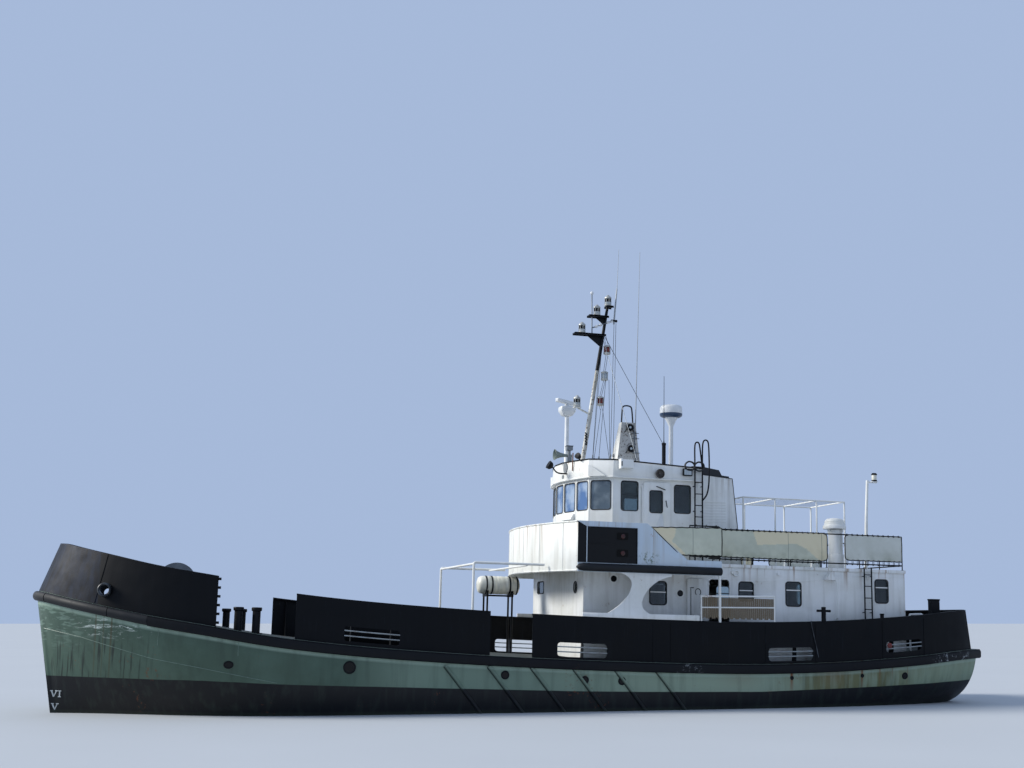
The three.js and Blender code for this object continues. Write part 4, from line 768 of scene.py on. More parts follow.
path = edge(-6.24, -1.59)
shapes, place, at = bulwark(path, 1.05, [rounded(-5.09, -3.79, 0.09, 0.43, 0.05)])
pair("bulwark_mid_plate_", shapes, side_enamel, stands_for="bulwark_mid_", slot="black_paint")
bars = []
for h in (0.21, 0.33):
    bars.append(tube(place(np.c_[at(np.linspace(-5.1, -3.78, 8)), np.full(8, h)], -0.01), 0.014, 8))
worn_bars = steel_paint("worn bar steel", "848b8d", "9aa1a2", "5d4a3c", rust="6e452c", runs=0.5, specks=0.7)
piece("freeing_bars_mid", both(bars), worn_bars)

path = edge(-0.54, 11.97)
ports = ((0.1, 1.36, 0.06, 0.4), (5.69, 6.92, 0.07, 0.4), (9.09, 10.18, 0.15, 0.43))
shapes, place, at = bulwark(np.vstack([path, other_side(path)]), 1.05,
                            [rounded(*port, 0.08) for port in ports], aft_lean)
for x, wide in ((2.59, 0.03), (5.61, 0.012), (7.02, 0.012), (3.04, 0.012), (8.98, 0.01), (10.28, 0.01)):
    d = at(x)
    strip = rounded(d - wide, d + wide, 0.01, 0.97, 0.004, 2)
    shapes.append(plate(strip, place, -0.004, 0.006))
post = [lathe([(0.058, 2.3), (0.058, 2.692), (0.05, 2.7)], (7.27, -2.995, 0), sides=24),
        tube([(7.08, -2.995, 2.6), (7.46, -2.995, 2.6)], 0.031, 12)]
piece("bulwark_aft_plate", [*shapes, *both(post)], side_enamel, stands_for="bulwark_aft", slot="black_paint")
bars = []
for x0, x1, low, high in ports:
    for part in (0.35, 0.7):
        level = np.full(8, low + part * (high - low))
        bars.append(tube(place(np.c_[at(np.linspace(x0 - 0.01, x1 + 0.01, 8)), level], -0.01), 0.015, 8))
piece("freeing_bars_aft", both(bars), worn_bars)
valve = lathe([(0.05, 0), (0.07, 0.012), (0.07, 0.03), (0.045, 0.045), (0, 0.05)],
              (9.17, -2.94, row(9.17)[1] + 0.33), (0, -1, 0), 18)
piece("freeing_port_valve", [valve],
      finish("faded red enamel", "5e1f1c", "7b2f28", scale=9.0, rough=(0.5, 0.7)))
hose = np.array([(6.88, 2.34), (6.9, 2.2), (6.96, 1.95), (7.03, 1.66), (7.08, 1.42)])
piece("bulwark_scupper_pipes",
      both([tube(np.c_[hose[:, 0], -row(hose[:, 0])[0] - 0.012, hose[:, 1]], 0.011, 8)]), worn_ring)


# Deck fittings forward: windlass with its warp drum, twin bollards, cargo hatch, gallows frame, and
# the liferaft canister in its cradle.
for node in ("bollard_fore_port", "bollard_fore_starboard", "bollard_aft_port", "bollard_aft_starboard"):
    low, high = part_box(node)
    x, y, z = (low[0] + high[0]) / 2, (low[1] + high[1]) / 2, low[2]
    shapes = [box(x - 0.35, x + 0.35, y - 0.13, y + 0.13, z + 0.001, z + 0.03)]
    for off in (-0.21, 0.21):
        up = high[2] - z
        shapes.append(lathe([(0.095, 0.03), (0.095, up - 0.09), (0.12, up - 0.08), (0.125, up - 0.02),
                             (0.11, up)], (x + off, y, z), sides=28))
    piece(node + "_posts", shapes, black_enamel, bevel=0.004, stands_for=node, slot="black_paint")
# The coaming gets black enamel so that what shows through the freeing ports is dark: painted shade.
coat("hatch_coaming", black_enamel)
for node in ("hatch_cover_fore", "hatch_cover_aft", "windlass_frame"):
    coat(node, grey_steel)
low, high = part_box("windlass_drum")
axle = ((low[0] + high[0]) / 2, 0, (low[2] + high[2]) / 2)
drum = [lathe([(0.2, -0.98), (0.235, -0.95), (0.2, -0.9), (0.14, -0.83), (0.15, -0.74), (0.2, -0.68),
               (0.06, -0.67), (0.06, -0.475), (0.48, -0.47), (0.48, -0.44), (0.1, -0.44), (0.1, 0.44),
               (0.48, 0.44), (0.48, 0.47), (0.06, 0.475), (0.06, 0.67), (0.2, 0.68), (0.15, 0.74),
               (0.14, 0.83), (0.2, 0.9), (0.235, 0.95), (0.2, 0.98)], axle, (0, 1, 0), 40)]
piece("windlass_drum_iron", drum, grey_steel, body="windlass", stands_for="windlass_drum", slot="grey_paint")
wraps = np.linspace(0, 1, 16 * 11 * 2)
layer = wraps * 2
lane = np.where(layer < 1, layer, 2 - layer)
coil = np.stack([axle[0] + (0.34 + 0.055 * (layer >= 1)) * np.cos(wraps * 22 * 2 * np.pi), 0.4 - 0.8 * lane,
                 axle[2] + (0.34 + 0.055 * (layer >= 1)) * np.sin(wraps * 22 * 2 * np.pi)], -1)
tarred = finish("tarred warp", "2b2723", "3b3731", scale=14.0, rough=(0.75, 0.95), depth=0.003, grain=90.0)
piece("windlass_warp", [tube(coil, 0.032, 7)], tarred, body="windlass")

white_steel = steel_paint("white enamel", "e6e7e4", "dcdcd6", "a8a69c", rust="8a5a34", runs=0.25,
                          specks=0.45, gloss=(0.3, 0.5))
gallows = []
for y in (-1.95, 1.95):
    deck = row(-1.775)[1]
    bend = np.linspace(0, np.pi / 2, 5)
    path = [(-1.775, y, deck + 0.012),
            *[(-1.725 - 0.05 * np.cos(a), y, 3.525 + 0.05 * np.sin(a)) for a in bend], (0.055, y, 3.575)]
    gallows += [tube(path, 0.032, 12),
                lathe([(0.075, 0.0), (0.075, 0.012), (0.03, 0.012)], (-1.775, y, deck), sides=20)]
gallows += [tube([(-1.775, -1.95, 3.54), (-1.775, 1.95, 3.54)], 0.03, 12),
            tube([(-0.4, -1.95, 3.545), (-0.4, 1.95, 3.545)], 0.024, 10)]
piece("gallows_pipes", gallows, white_steel, stands_for="gallows_frame", slot="white_paint")

RAFT_SIDE, RAFT_HEIGHT = 1.5, 3.135
raft_shell = finish("moulded white shell", "e2e0d4", "d3d1c2", scale=2.0, rough=(0.28, 0.4), depth=0.0008)
shell = [(0, -0.84), (0.14, -0.84), (0.2, -0.815), (0.236, -0.76), (0.244, -0.7)]
for x in (-0.55, -0.38, -0.27):
    shell += [(0.244, x - 0.03), (0.249, x - 0.02), (0.249, x + 0.02), (0.244, x + 0.03)]
shell += [(0.25, -0.2), (0.25, -0.14), (0.244, -0.13)]
for x in (-0.02, 0.1, 0.2):
    shell += [(0.244, x - 0.03), (0.249, x - 0.02), (0.249, x + 0.02), (0.244, x + 0.03)]
shell += [(0.236, 0.25), (0.2, 0.305), (0.14, 0.33), (0, 0.33)]
piece("liferaft_shell", [lathe(shell, (0, RAFT_SIDE, RAFT_HEIGHT), (1, 0, 0), 48)], raft_shell,
      stands_for="liferaft", slot="moulded_plastic")
webbing = finish("black webbing", "0e1013", "1b1d20", scale=20.0, rough=(0.7, 0.9), depth=0.0012,
                 grain=300.0)
straps = []
for x in (-0.62, -0.46, 0.04, 0.245):
    turn = full_turn(40)
    rows = [np.stack([np.full(40, x + along), RAFT_SIDE + r * np.cos(turn), RAFT_HEIGHT + r * np.sin(turn)],
                     -1)
            for r, along in ((0.2452, -0.022), (0.2515, -0.022), (0.2515, 0.022), (0.2452, 0.022))]
    straps.append(skin(np.array(rows), shut=True))
piece("liferaft_straps", straps, webbing)
coat("liferaft_cradle", black_enamel)


# Deckhouse: welded steel under white enamel, with rust weeping from the deck edge above. Windows in
# rubber, round portholes in brass rims painted over, doors on hinges with dogs.
def salted_glass(name, first, second, haze, drift, rough, **shader):
    """Glass between two tints, with drifts of dried salt a hand or two across that also roughen it.
    The drifts come between two levels of the haze, noise of a given scale and detail."""
    def build(tree, place):
        salt = add(tree, "TexNoise", {"Vector": place, "Scale": haze[0], "Detail": haze[1]})
        tint = laid(tree, first, second, add(tree, "MapRange", {0: salt, 1: drift[0], 2: drift[1]}))
        return tint, add(tree, "MapRange", {0: salt, **dict(enumerate(rough, 1))}), salt, 0.0002
    return surface(name, build, IOR=1.5, **shader)


window_glass = salted_glass("salted window glass", "93a3a8", "aebdbf", (3.0, 5.0), (0, 1),
                            (0.4, 0.7, 0.02, 0.09), Transmission_Weight=1.0)
house_steel = steel_paint("deckhouse enamel", "e3e4e2", "d7d8d3", "9a978c", rust="8a5a34", runs=0.35,
                          specks=0.5, top=3.66, reach=0.55, gloss=(0.32, 0.55))
for node in ("deckhouse", "deckhouse_door_port", "deckhouse_door_starboard", "deckhouse_door_aft"):
    coat(node, house_steel)


def gasket(outline, place, wide=0.022, proud=0.012, back=-0.004):
    """A raised band round an outline of flat points, standing on a wall given by place."""
    ahead = np.roll(outline, -1, axis=0) - outline
    ahead /= np.linalg.norm(ahead, axis=1)[:, None]
    mean = ahead + np.roll(ahead, 1, axis=0)
    mean /= np.linalg.norm(mean, axis=1)[:, None]
    out = np.stack([mean[:, 1], -mean[:, 0]], -1)
    rows = [place(outline + out * w, off)
            for w, off in ((wide, back), (wide, proud), (wide * 0.3, proud + 0.004), (-0.006, proud),
                           (-0.006, back))]
    return skin(np.stack(rows), ends=False)


gaskets, panes, dividers, rims, deadlights = [], [], [], [], []
wall = beside(2.3)
for i, (x0, x1, z0, z1) in enumerate(
        ((2.77, 3.21, 2.66, 3.23), (5.23, 5.62, 2.82, 3.29), (6.56, 6.98, 2.72, 3.33),
         (9.16, 9.53, 2.87, 3.47))):
    outline = rounded(x0, x1, z0, z1, 0.07)
    gaskets.append(gasket(outline, wall))
    panes.append(plate(outline, wall, -0.03, -0.02))
    high = z0 + (z1 - z0) * (0.52 if i < 2 else 0.64)
    dividers.append(plate(rounded(x0 + 0.004, x1 - 0.004, high, high + 0.028, 0.004, 2), wall, -0.02, 0.004))
for x, z, r in ((1.79, 3.27, 0.088), (3.59, 2.956, 0.088)):
    outline = circle(x, z, r, 28)
    rims.append(gasket(outline, wall, 0.03, 0.014))
    rims += [lathe([(0.011, 0), (0.011, 0.02)], (x + 0.105 * np.cos(a), -2.313, z + 0.105 * np.sin(a)),
                   (0, -1, 0), 8) for a in full_turn(6)]
    deadlights.append(plate(outline, wall, -0.02, 0.006))


def facing(a, b):
    """Places (distance, z) points on the upright plane from a to b, offset to the right of that way."""
    a, b = np.asarray(a, float), np.asarray(b, float)
    way = (b - a) / np.linalg.norm(b - a)
    return lambda flat, off: np.c_[a[0] + way[0] * flat[:, 0] + way[1] * off,
                                   a[1] + way[1] * flat[:, 0] - way[0] * off, flat[:, 1]]


gaskets, panes = both(gaskets), both(panes)
front = facing((0.99, 0), (0.99, -1))
for outline, of_side in ((circle(1.63, 3.05, 0.135), lambda s: s),
                         (rounded(1.25, 1.85, 2.95, 3.26, 0.06), mirrored)):
    gaskets.append(of_side(gasket(outline, front)))
    panes.append(of_side(plate(outline, front, -0.03, -0.02)))
piece("deckhouse_gaskets", gaskets, rubber, smooth=50)
piece("deckhouse_panes", panes, window_glass)
piece("deckhouse_porthole_glass", both(deadlights), dark_glass)
piece("deckhouse_dividers", both(dividers), white_steel)
piece("deckhouse_porthole_rims", both(rims), white_steel, smooth=50)

outline = rounded(4.38, 4.96, 1.48, 3.344, 0.09)
coamings = [gasket(outline, wall, 0.03, 0.005)]
piece("doorway_coamings", both(coamings), house_steel, smooth=50)
rods = []
horseshoe = np.linspace(-0.3 * np.pi, 1.3 * np.pi, 22)
rods.append(tube(np.c_[4.06 + 0.075 * np.cos(horseshoe), np.full(22, -2.36),
                       3.0 + 0.085 * np.sin(horseshoe)], 0.009, 8))
for z in (1.75, 2.4, 3.1):
    rods.append(tube([(3.84, -2.366, z), (3.94, -2.372, z + 0.01)], 0.011, 8))
rods.append(tube([(3.86, -2.358, 1.8), (3.86, -2.368, 1.82), (3.86, -2.368, 3.06), (3.86, -2.358, 3.08)],
                 0.008, 8))
piece("door_dogs_port", rods, black_enamel, body="door_port")
rods = [tube([(x, 2.358, z), (x, 2.37, z), (x - 0.1, 2.37, z + 0.01)], 0.011, 8)
        for x, z in ((4.9, 1.75), (4.9, 2.4), (4.9, 3.1))]
piece("door_dogs_starboard", rods, black_enamel, body="door_starboard")
rods = [tube([(10.1, y, z), (10.108, y, z), (10.108, y + 0.1, z + 0.01)], 0.009, 8)
        for y, z in ((-0.3, 2.0), (-0.3, 2.6), (-0.3, 3.2))]
piece("door_dogs_aft", rods, black_enamel, body="door_aft")

trims = [plate(rounded(7.3, 10.03, 3.545, 3.553, 0.002, 2), wall, -0.002, 0.006),
         lathe([(0.085, 0), (0.085, 0.05), (0.07, 0.06), (0.055, 0.05), (0.05, 0.02), (0, 0.018)],
               (5.13, -2.298, 3.51), (0, -1, 0), 28)]
hood = plate([(7.62, 3.42), (7.95, 3.42), (7.79, 3.62)], wall, -0.002, 0.16)
pipe_path = [(7.81, -2.31, 3.61), (7.81, -2.39, 3.6), (7.86, -2.41, 3.5), (7.99, -2.41, 3.32),
             (7.99, -2.41, 2.44), (7.99, -2.31, 2.4)]
trims += [hood, tube(pipe_path, 0.018, 10)]
for x, z in ((1.1, 3.5), (5.0, 3.5), (6.3, 3.5), (8.9, 3.5)):
    trims.append(plate(rounded(x, x + 0.11, z, z + 0.07, 0.01, 3), wall, -0.002, 0.05))
piece("deckhouse_fittings", both(trims), house_steel)


def ladder(x0, x1, y, wall, low, high, radius, brackets, rungs):
    """Shapes of a ladder: two stiles at y, their brackets to a wall, and rungs, at given heights."""
    shapes = [tube([(x0, y, z), (x1, y, z)], 0.012, 8) for z in rungs]
    for x in (x0, x1):
        shapes.append(tube([(x, y, low), (x, y, high)], radius, 10))
        shapes += [tube([(x, y, z), (x, wall, z)], 0.012, 8) for z in brackets]
    return shapes


piece("deckhouse_ladder_bars",
      ladder(8.775, 8.985, -2.43, -2.302, 1.41, 3.79, 0.019, (1.65, 2.6, 3.55),
             (1.74, 2.05, 2.37, 2.68, 2.98, 3.29, 3.59)), black_enamel, stands_for="deckhouse_ladder",
      slot="black_paint")


# Bridge deck and screen: a steel deck with wings, and a bowed screen of welded strakes. Each wing has
# a half-round rubber under its deck edge and a black board for the sidelight.
def wing_shade_and_mould_zone(tree, place, base, blotch):
    """Painted shade turns the wings' outer plates blue-grey; green mould lies where the after foot stays
    wet.
    """
    base = laid(tree, base, "bfccd6", about(tree, place, "Y", 0, 3.07, 3.09))
    return laid(tree, base, "4f6350", patchy(tree, place, 16.0, 6.0, (0.5, 0.6, 0, 0.8)),
                round_point(tree, place, (2.45, -3.1, 3.78), (3.2, 3.0, 5.0), 0.5))


screen_steel = steel_paint("screen enamel", "ecede8", "e1e2db", "a9a79c", rust="9a6a42", runs=0.45,
                           specks=0.5, top=4.62, reach=1.1, gloss=(0.3, 0.5), zone=wing_shade_and_mould_zone)
coat("bridge_deck", house_steel)
coat("bridge_screen", screen_steel)


def bowed(y, out=0.0):
    """x of the bridge screen's front at a distance y from the centreline."""
    return 0.58 - 0.7 * (1 - (y / 3.1) ** 2) - out


def on_screen(flat, off):
    """Places (distance to port, z) points on the screen's bowed front, offset forward."""
    slope = 1.4 * flat[:, 0] / 3.1 ** 2
    size = np.sqrt(1 + slope ** 2)
    return np.c_[bowed(flat[:, 0]) - off / size, -flat[:, 0] - off * slope / size, flat[:, 1]]


seams = []
for y in (-2.55, -1.5, -0.5, 0.5, 1.5, 2.55):
    seams.append(tube(on_screen(np.c_[np.full(6, y), np.linspace(3.42, 4.6, 6)], 0.0), 0.009, 6))
ys = np.linspace(-3.07, 3.07, 41)
seams += [tube(on_screen(np.c_[ys, np.full(41, 4.625)], 0.002), 0.02, 8),
          tube(on_screen(np.c_[ys, np.full(41, 3.42)], 0.002), 0.014, 8)]
piece("screen_welds", seams, screen_steel)

wing_side = beside(3.1)
board_steel = steel_paint("sidelight board enamel", "07080b", "0b0d11", "121519", rust="2c2019", runs=0.2,
                          specks=0.3, gloss=(0.45, 0.65), Specular_IOR_Level=0.25)
board = plate([(0.57, 3.62), (2.12, 3.62), (2.12, 4.5), (0.8, 4.5), (0.57, 4.63)], wing_side, 0.0, 0.012)
ledge = [box(0.82, 1.55, -3.122, -3.11, 4.09, 4.105), box(2.105, 2.125, -3.125, -3.1, 3.62, 4.5),
         box(0.82, 2.12, -3.125, -3.1, 4.49, 4.505)]
recess = [plate(rounded(x0, x1, z0, z1, 0.03), wing_side, 0.012, 0.02)
          for x0, x1, z0, z1 in ((1.58, 1.88, 4.2, 4.38), (1.58, 1.88, 3.78, 3.96))]
piece("sidelight_boards", both([board, *ledge]), board_steel)
piece("sidelight_board_edges", both([box(0.79, 0.81, -3.128, -3.1, 3.62, 4.5)]), screen_steel)
lamp_brass = finish("smoked lamp glass", "030303", "080606", scale=12.0, rough=(0.4, 0.6),
                    Specular_IOR_Level=0.15)
piece("sidelight_lamps", both(recess), lamp_brass)
lens = [lathe([(0.06, 0), (0.058, 0.012), (0.03, 0.02), (0, 0.022)], (1.74, -3.12, z), (0, -1, 0), 20)
        for z in (4.29, 3.87)]
piece("sidelight_lens_port", lens,
      finish("red sidelight glass", "260807", "42120c", scale=20.0, rough=(0.1, 0.2)))
piece("sidelight_lens_starboard", [mirrored(s) for s in lens],
      finish("green sidelight glass", "0a3516", "125a2a", scale=20.0, rough=(0.1, 0.2)))

RUB_SIDE, RUB_HEIGHT = -3.1005, 3.503
half_round = np.linspace(-np.pi / 2, np.pi / 2, 9)
xs = np.linspace(0, 1, 25)
rows = []
for t in np.r_[0.0, 0.02, 0.05, 0.1, xs[3:-1], 1.0]:
    grow = np.sqrt(np.clip(1 - (1 - min(t / 0.06, 1)) ** 2, 0.02, 1))
    x = 0.535 + (4.375 - 0.535) * t
    rows.append([(x, RUB_SIDE, RUB_HEIGHT - 0.1 * grow),
                 *[(x, RUB_SIDE - 0.122 * grow * np.cos(a), RUB_HEIGHT + 0.1 * grow * np.sin(a))
                   for a in half_round], (x, RUB_SIDE, RUB_HEIGHT + 0.1 * grow)])
pair("wing_rubber_", [skin(np.array(rows))], scuffed_rubber, smooth=50, stands_for="wing_fender_",
     slot="rubber")
for side_name in ("port", "starboard"):
    coat("side_screen_" + side_name, house_steel)
slats = [box(x, x + 0.046, -3.054, -3.042, 2.33 + 0.03 * (i % 3 == 1), 2.855)
         for i, x in enumerate(np.arange(3.875, 5.82, 0.0535))]


def weathered_wood(tree, place):
    """Grain drawn out along the slat, grey where the sun has bleached it."""
    long = add(tree, "VectorMath", {0: place, 1: (40.0, 40.0, 2.0)}, operation="MULTIPLY")
    grain = add(tree, "TexNoise", {"Vector": long, "Scale": 1.0, "Detail": 6.0})
    bleached = add(tree, "TexNoise", {"Vector": place, "Scale": 5.0})
    base = laid(tree, laid(tree, "43382a", "93826a", grain), "655c4c", bleached)
    return base, add(tree, "MapRange", {0: grain, 3: 0.75, 4: 0.95}), grain, 0.003


slat_wood = surface("weathered slats", weathered_wood)
RAIL_SIDE = -3.06
railing = [tube([(x0, RAIL_SIDE, z0), (x1, RAIL_SIDE, z1)], r, sides)
           for x0, x1, z0, z1, r, sides in (
        (4.36, 4.36, 2.24, 3.394, 0.035, 14), (3.86, 5.86, 2.88, 2.92, 0.022, 12),
        (3.86, 5.86, 2.6, 2.64, 0.018, 12), (3.86, 3.86, row(3.86)[1] + 1.05, 2.9, 0.02, 10),
        (5.86, 5.86, row(5.86)[1] + 1.05, 2.94, 0.02, 10))]
pair("side_rail_bars_", railing, white_steel)
pair("side_rail_slats_", slats, slat_wood, bevel=0.002, stands_for="side_rail_", slot="slatted_panel")


# Wheelhouse: faceted steel front, panes in black rubber, doors with a round-cornered light, and a deep
# fascia with a rolled lip below and a dark drip edge above.
for node in ("wheelhouse", "wheelhouse_door_port", "wheelhouse_door_starboard", "wheelhouse_roof"):
    coat(node, white_steel)


# Painted reflection: the front panes are tinted sky blue for the sky they reflect, and the chamfer panes get
# a greyer copy as painted half shade.
painted_sky_reflection_glass = salted_glass("painted sky reflection glass", "5f83b5", "b4c8e0", (2.2, 4.0), (0.4, 0.62), (0, 1, 0.03, 0.1),
                         Transmission_Weight=0.35)
painted_half_shade_glass = salted_glass("painted half shade glass", "6f7f8c", "a4b3bd", (2.2, 4.0), (0.4, 0.62),
                            (0, 1, 0.03, 0.1), Transmission_Weight=0.5)
gaskets, panes, side_panes, chamfer_panes, welds = [], [], [], [], []
corners = ((1.03, -0.34), (1.165, -1.0), (1.33, -1.6), (1.85, -1.98), (4.22, -1.98))
for a, b, margin in zip(corners, corners[1:], (0.055, 0.055, 0.055, None)):
    on_facet = facing(a, b)
    long = np.hypot(b[0] - a[0], b[1] - a[1])
    spans = ([(margin, long - margin, 5.06, 5.8)] if margin
             else [(0.24, 0.69, 5.05, 5.8), (1.71, 2.15, 5.04, 5.76)])
    for s0, s1, z0, z1 in spans:
        outline = rounded(s0, s1, z0, z1, 0.06)
        gaskets.append(gasket(outline, on_facet, 0.018, 0.008))
        set_in = side_panes if not margin else chamfer_panes if a[0] > 1.3 else panes
        set_in.append(plate(rounded(s0 - 0.001, s1 + 0.001, z0 - 0.001, z1 + 0.001, 0.06), on_facet, -0.03,
                            -0.022))
    welds.append(tube(on_facet(np.c_[np.zeros(2), (3.76, 5.86)], 0.0), 0.006, 6))
on_facet = facing((1.03, 0.34), (1.03, -0.34))
outline = rounded(0.05, 0.63, 5.06, 5.8, 0.06)
middle_gasket = gasket(outline, on_facet, 0.018, 0.008)
middle_pane = plate(outline, on_facet, -0.03, -0.022)
piece("wheelhouse_gaskets", [*both(gaskets), middle_gasket], rubber, smooth=50)
piece("wheelhouse_panes_fore", [*both(panes), middle_pane], painted_sky_reflection_glass)
piece("wheelhouse_panes_chamfer", both(chamfer_panes), painted_half_shade_glass)
piece("wheelhouse_panes_side", both(side_panes), window_glass)
piece("wheelhouse_welds", both(welds), white_steel)

light = rounded(2.86, 3.2, 5.02, 5.58, 0.05)
on_door = beside(2.03)
leaf = [gasket(light, on_door, 0.018, 0.008), plate(light, on_door, -0.03, -0.022)]
fittings = [tube([(3.03, -2.036, 5.7), (3.1, -2.05, 5.68), (3.24, -2.05, 5.63), (3.28, -2.036, 5.62)], 0.012,
                 8),
            tube([(3.31, -2.03, 5.33), (3.29, -2.065, 5.33), (3.32, -2.065, 5.18), (3.33, -2.065, 5.16)],
                 0.011, 8)]
for name, shapes, finish_of in (("gasket", leaf[:1], rubber), ("pane", leaf[1:], window_glass),
                                ("handles", fittings, black_enamel)):
    pair("bridge_door_" + name + "_", shapes, finish_of, "bridge_door_", smooth=50 if name == "gasket"
         else 35)

VISOR = [(0.96, -0.36), (1.1, -1.03), (1.285, -1.64), (1.83, -2.055), (4.33, -2.06)]


def visor_top(x):
    """Height of the roof's upper edge, which falls from bow to stern."""
    return 6.39 - 0.15 * (x - 0.96) / (4.33 - 0.96)


lip = [(x, y, 5.895) for x, y in VISOR]
lip = [(x, -y, z) for x, y, z in lip[::-1]] + lip
edge_line = [(x + (0.03 if i < 4 else -0.03), y + 0.03, visor_top(x) - 0.003)
             for i, (x, y) in enumerate(VISOR)]
edge_line = [(x, -y, z) for x, y, z in edge_line[::-1]] + edge_line
piece("fascia_lip", [tube(lip, 0.024, 10)], white_steel)
piece("roof_edge_angle", [tube(edge_line, 0.02, 6)], black_enamel)
fin = plate([(0.03, 5.91), (0.52, 5.91), (0.08, 6.2), (0.03, 6.22)], facing(VISOR[2], VISOR[3]), -0.004,
            0.07)
side_box = [box(2.02, 2.33, -2.24, -2.05, 6.12, 6.34), box(1.98, 2.03, -2.25, -2.05, 6.1, 6.36)]
piece("fascia_fittings", both([fin, *side_box]), white_steel, bevel=0.006)
# A thin black plate stands for the dark inside of the slot in the fascia box, as painted shade; the other
# black box frames the floodlight.
slot_shade_and_lamp_frame = [box(1.99, 2.02, -2.256, -2.248, 6.165, 6.285), box(3.75, 4.0, -2.13, -2.06, 6.01, 6.2)]
speaker = lathe([(0.075, 0.0), (0.11, 0.03), (0.122, 0.09), (0.105, 0.1), (0.09, 0.055), (0.04, 0.04),
                 (0.03, 0.075), (0, 0.08)], (3.1, -2.055, 6.03), (0, -1, 0), 32)
piece("fascia_slots_and_frames", both(slot_shade_and_lamp_frame), black_enamel, bevel=0.004)
piece("fascia_speakers", both([speaker]),
      finish("sun baked paint", "2a2622", "57504a", scale=9.0, rough=(0.45, 0.7)))
lamp_front = finish("frosted lamp glass", "9aa5ab", "b3bcc0", scale=8.0, rough=(0.1, 0.2))
piece("fascia_floodlight_glass", both([box(3.775, 3.975, -2.136, -2.129, 6.035, 6.175)]), lamp_front,
      bevel=0.002)

coat("helm_console", grey_steel)
HUB = 4.724
wheel_turn = full_turn(36)
dark_wood = finish("varnished wheel", "3a2416", "533520", scale=9.0, rough=(0.25, 0.4), Coat_Weight=0.6)
wheel = [tube(np.c_[np.full(36, 2.1), 0.245 * np.cos(wheel_turn), HUB + 0.245 * np.sin(wheel_turn)], 0.016,
              8, shut=True)]
for a in full_turn(6):
    wheel.append(tube([(2.1, 0.05 * np.cos(a), HUB + 0.05 * np.sin(a)),
                       (2.1, 0.25 * np.cos(a), HUB + 0.25 * np.sin(a))], 0.011, 7))
piece("helm_wheel", wheel, dark_wood)
sill = [box(1.45, 1.75, y - 0.12, y + 0.12, 4.851, 4.99) for y in (-0.55, 0.1, 0.6)]
piece("helm_instruments", sill, black_enamel, bevel=0.01)

coat("funnel_casing",
     steel_paint("casing enamel", "e8e9e6", "dadad4", "8f8b80", rust="8a5a34", runs=0.5, specks=0.6, top=6.2,
                 reach=0.5))
coat("funnel_top",
     finish("sooty black enamel", "15171a", "24262a", scale=2.5, rough=(0.5, 0.75), depth=0.001))
edge_bars = [tube([(4.34, -1.3, 6.19), (5.5, -1.3, 6.095), (5.755, -1.3, 3.8)], 0.012, 6)]
louvres = [box(4.6, 5.3, -1.312, -1.298, z, z + 0.03) for z in np.arange(4.9, 5.5, 0.075)]
piece("casing_trim", both(edge_bars), black_enamel)
piece("casing_louvres", both(louvres), white_steel, bevel=0.003)

bars = ladder(4.08, 4.29, -2.11, -1.981, 3.76, 6.34, 0.02, (4.2, 5.1, 5.75), np.arange(4.05, 6.0, 0.3))


def eased(path, times=3):
    """A path with its corners cut off at the quarters, several times over, which rounds it."""
    path = np.asarray(path, float)
    for _ in range(times):
        a, b = path[:-1], path[1:]
        middle = np.stack([0.75 * a + 0.25 * b, 0.25 * a + 0.75 * b], 1).reshape(-1, 3)
        path = np.vstack([path[:1], middle[1:-1], path[-1:]])
    return path


for hoop in ([(4.29, 6.3), (4.29, 6.86), (4.335, 6.985), (4.435, 6.985), (4.475, 6.86), (4.49, 6.0),
              (4.44, 5.55), (4.29, 5.38)],
             [(4.08, 6.3), (4.07, 6.8), (4.1, 6.915), (4.19, 6.915), (4.22, 6.8), (4.29, 6.2)]):
    bars.append(tube(eased([(x, -2.11, z) for x, z in hoop]), 0.02, 10))
piece("wheelhouse_ladder_bars", bars, black_enamel, stands_for="wheelhouse_ladder", slot="black_paint")
turn = np.linspace(0, 5 * 2 * np.pi, 140)
wob = 1 + 0.05 * np.sin(2.3 * turn)
cable = [np.stack([x + 0.13 * wob * np.cos(turn), -2.142 + 0.008 * turn / 6,
                   6.27 + 0.12 * wob * np.sin(turn)], -1) for x in (3.93, 4.2)]
piece("cable_coil", [tube(path, 0.016, 7) for path in cable], rubber)


# Mast and roof gear: a raked pole of aluminium over an old black head, three lamp platforms, signal
# lanterns on a chain, wire stays on bottle screws, radar, radome, a rusty pylon, horns and lamps.
def freckled_zone(tree, place, base, blotch):
    """Dark rust freckles as large as a coin, where chips in the paint have let the wet in."""
    return laid(tree, base, "4a382b", patchy(tree, place, 14.0, 5.0, (0.555, 0.6, 0, 0.85), Roughness=0.65))


mast_metal = steel_paint("mast paint", "cfd0cb", "b0afa8", "77705f", rust="6e4526", runs=0.6, specks=0.95,
                         gloss=(0.4, 0.6), zone=freckled_zone)
galvanised = finish("galvanised wire", "5a6066", "7a8086", scale=30.0, rough=(0.35, 0.55), Metallic=0.9)


def mast_at(z):
    """The point of the mast's axis at height z: it rakes aft by 0.745 in 4.88 metres from its foot."""
    return np.array((1.625 + 0.745 * (z - 6.3) / 4.88, 0, z))


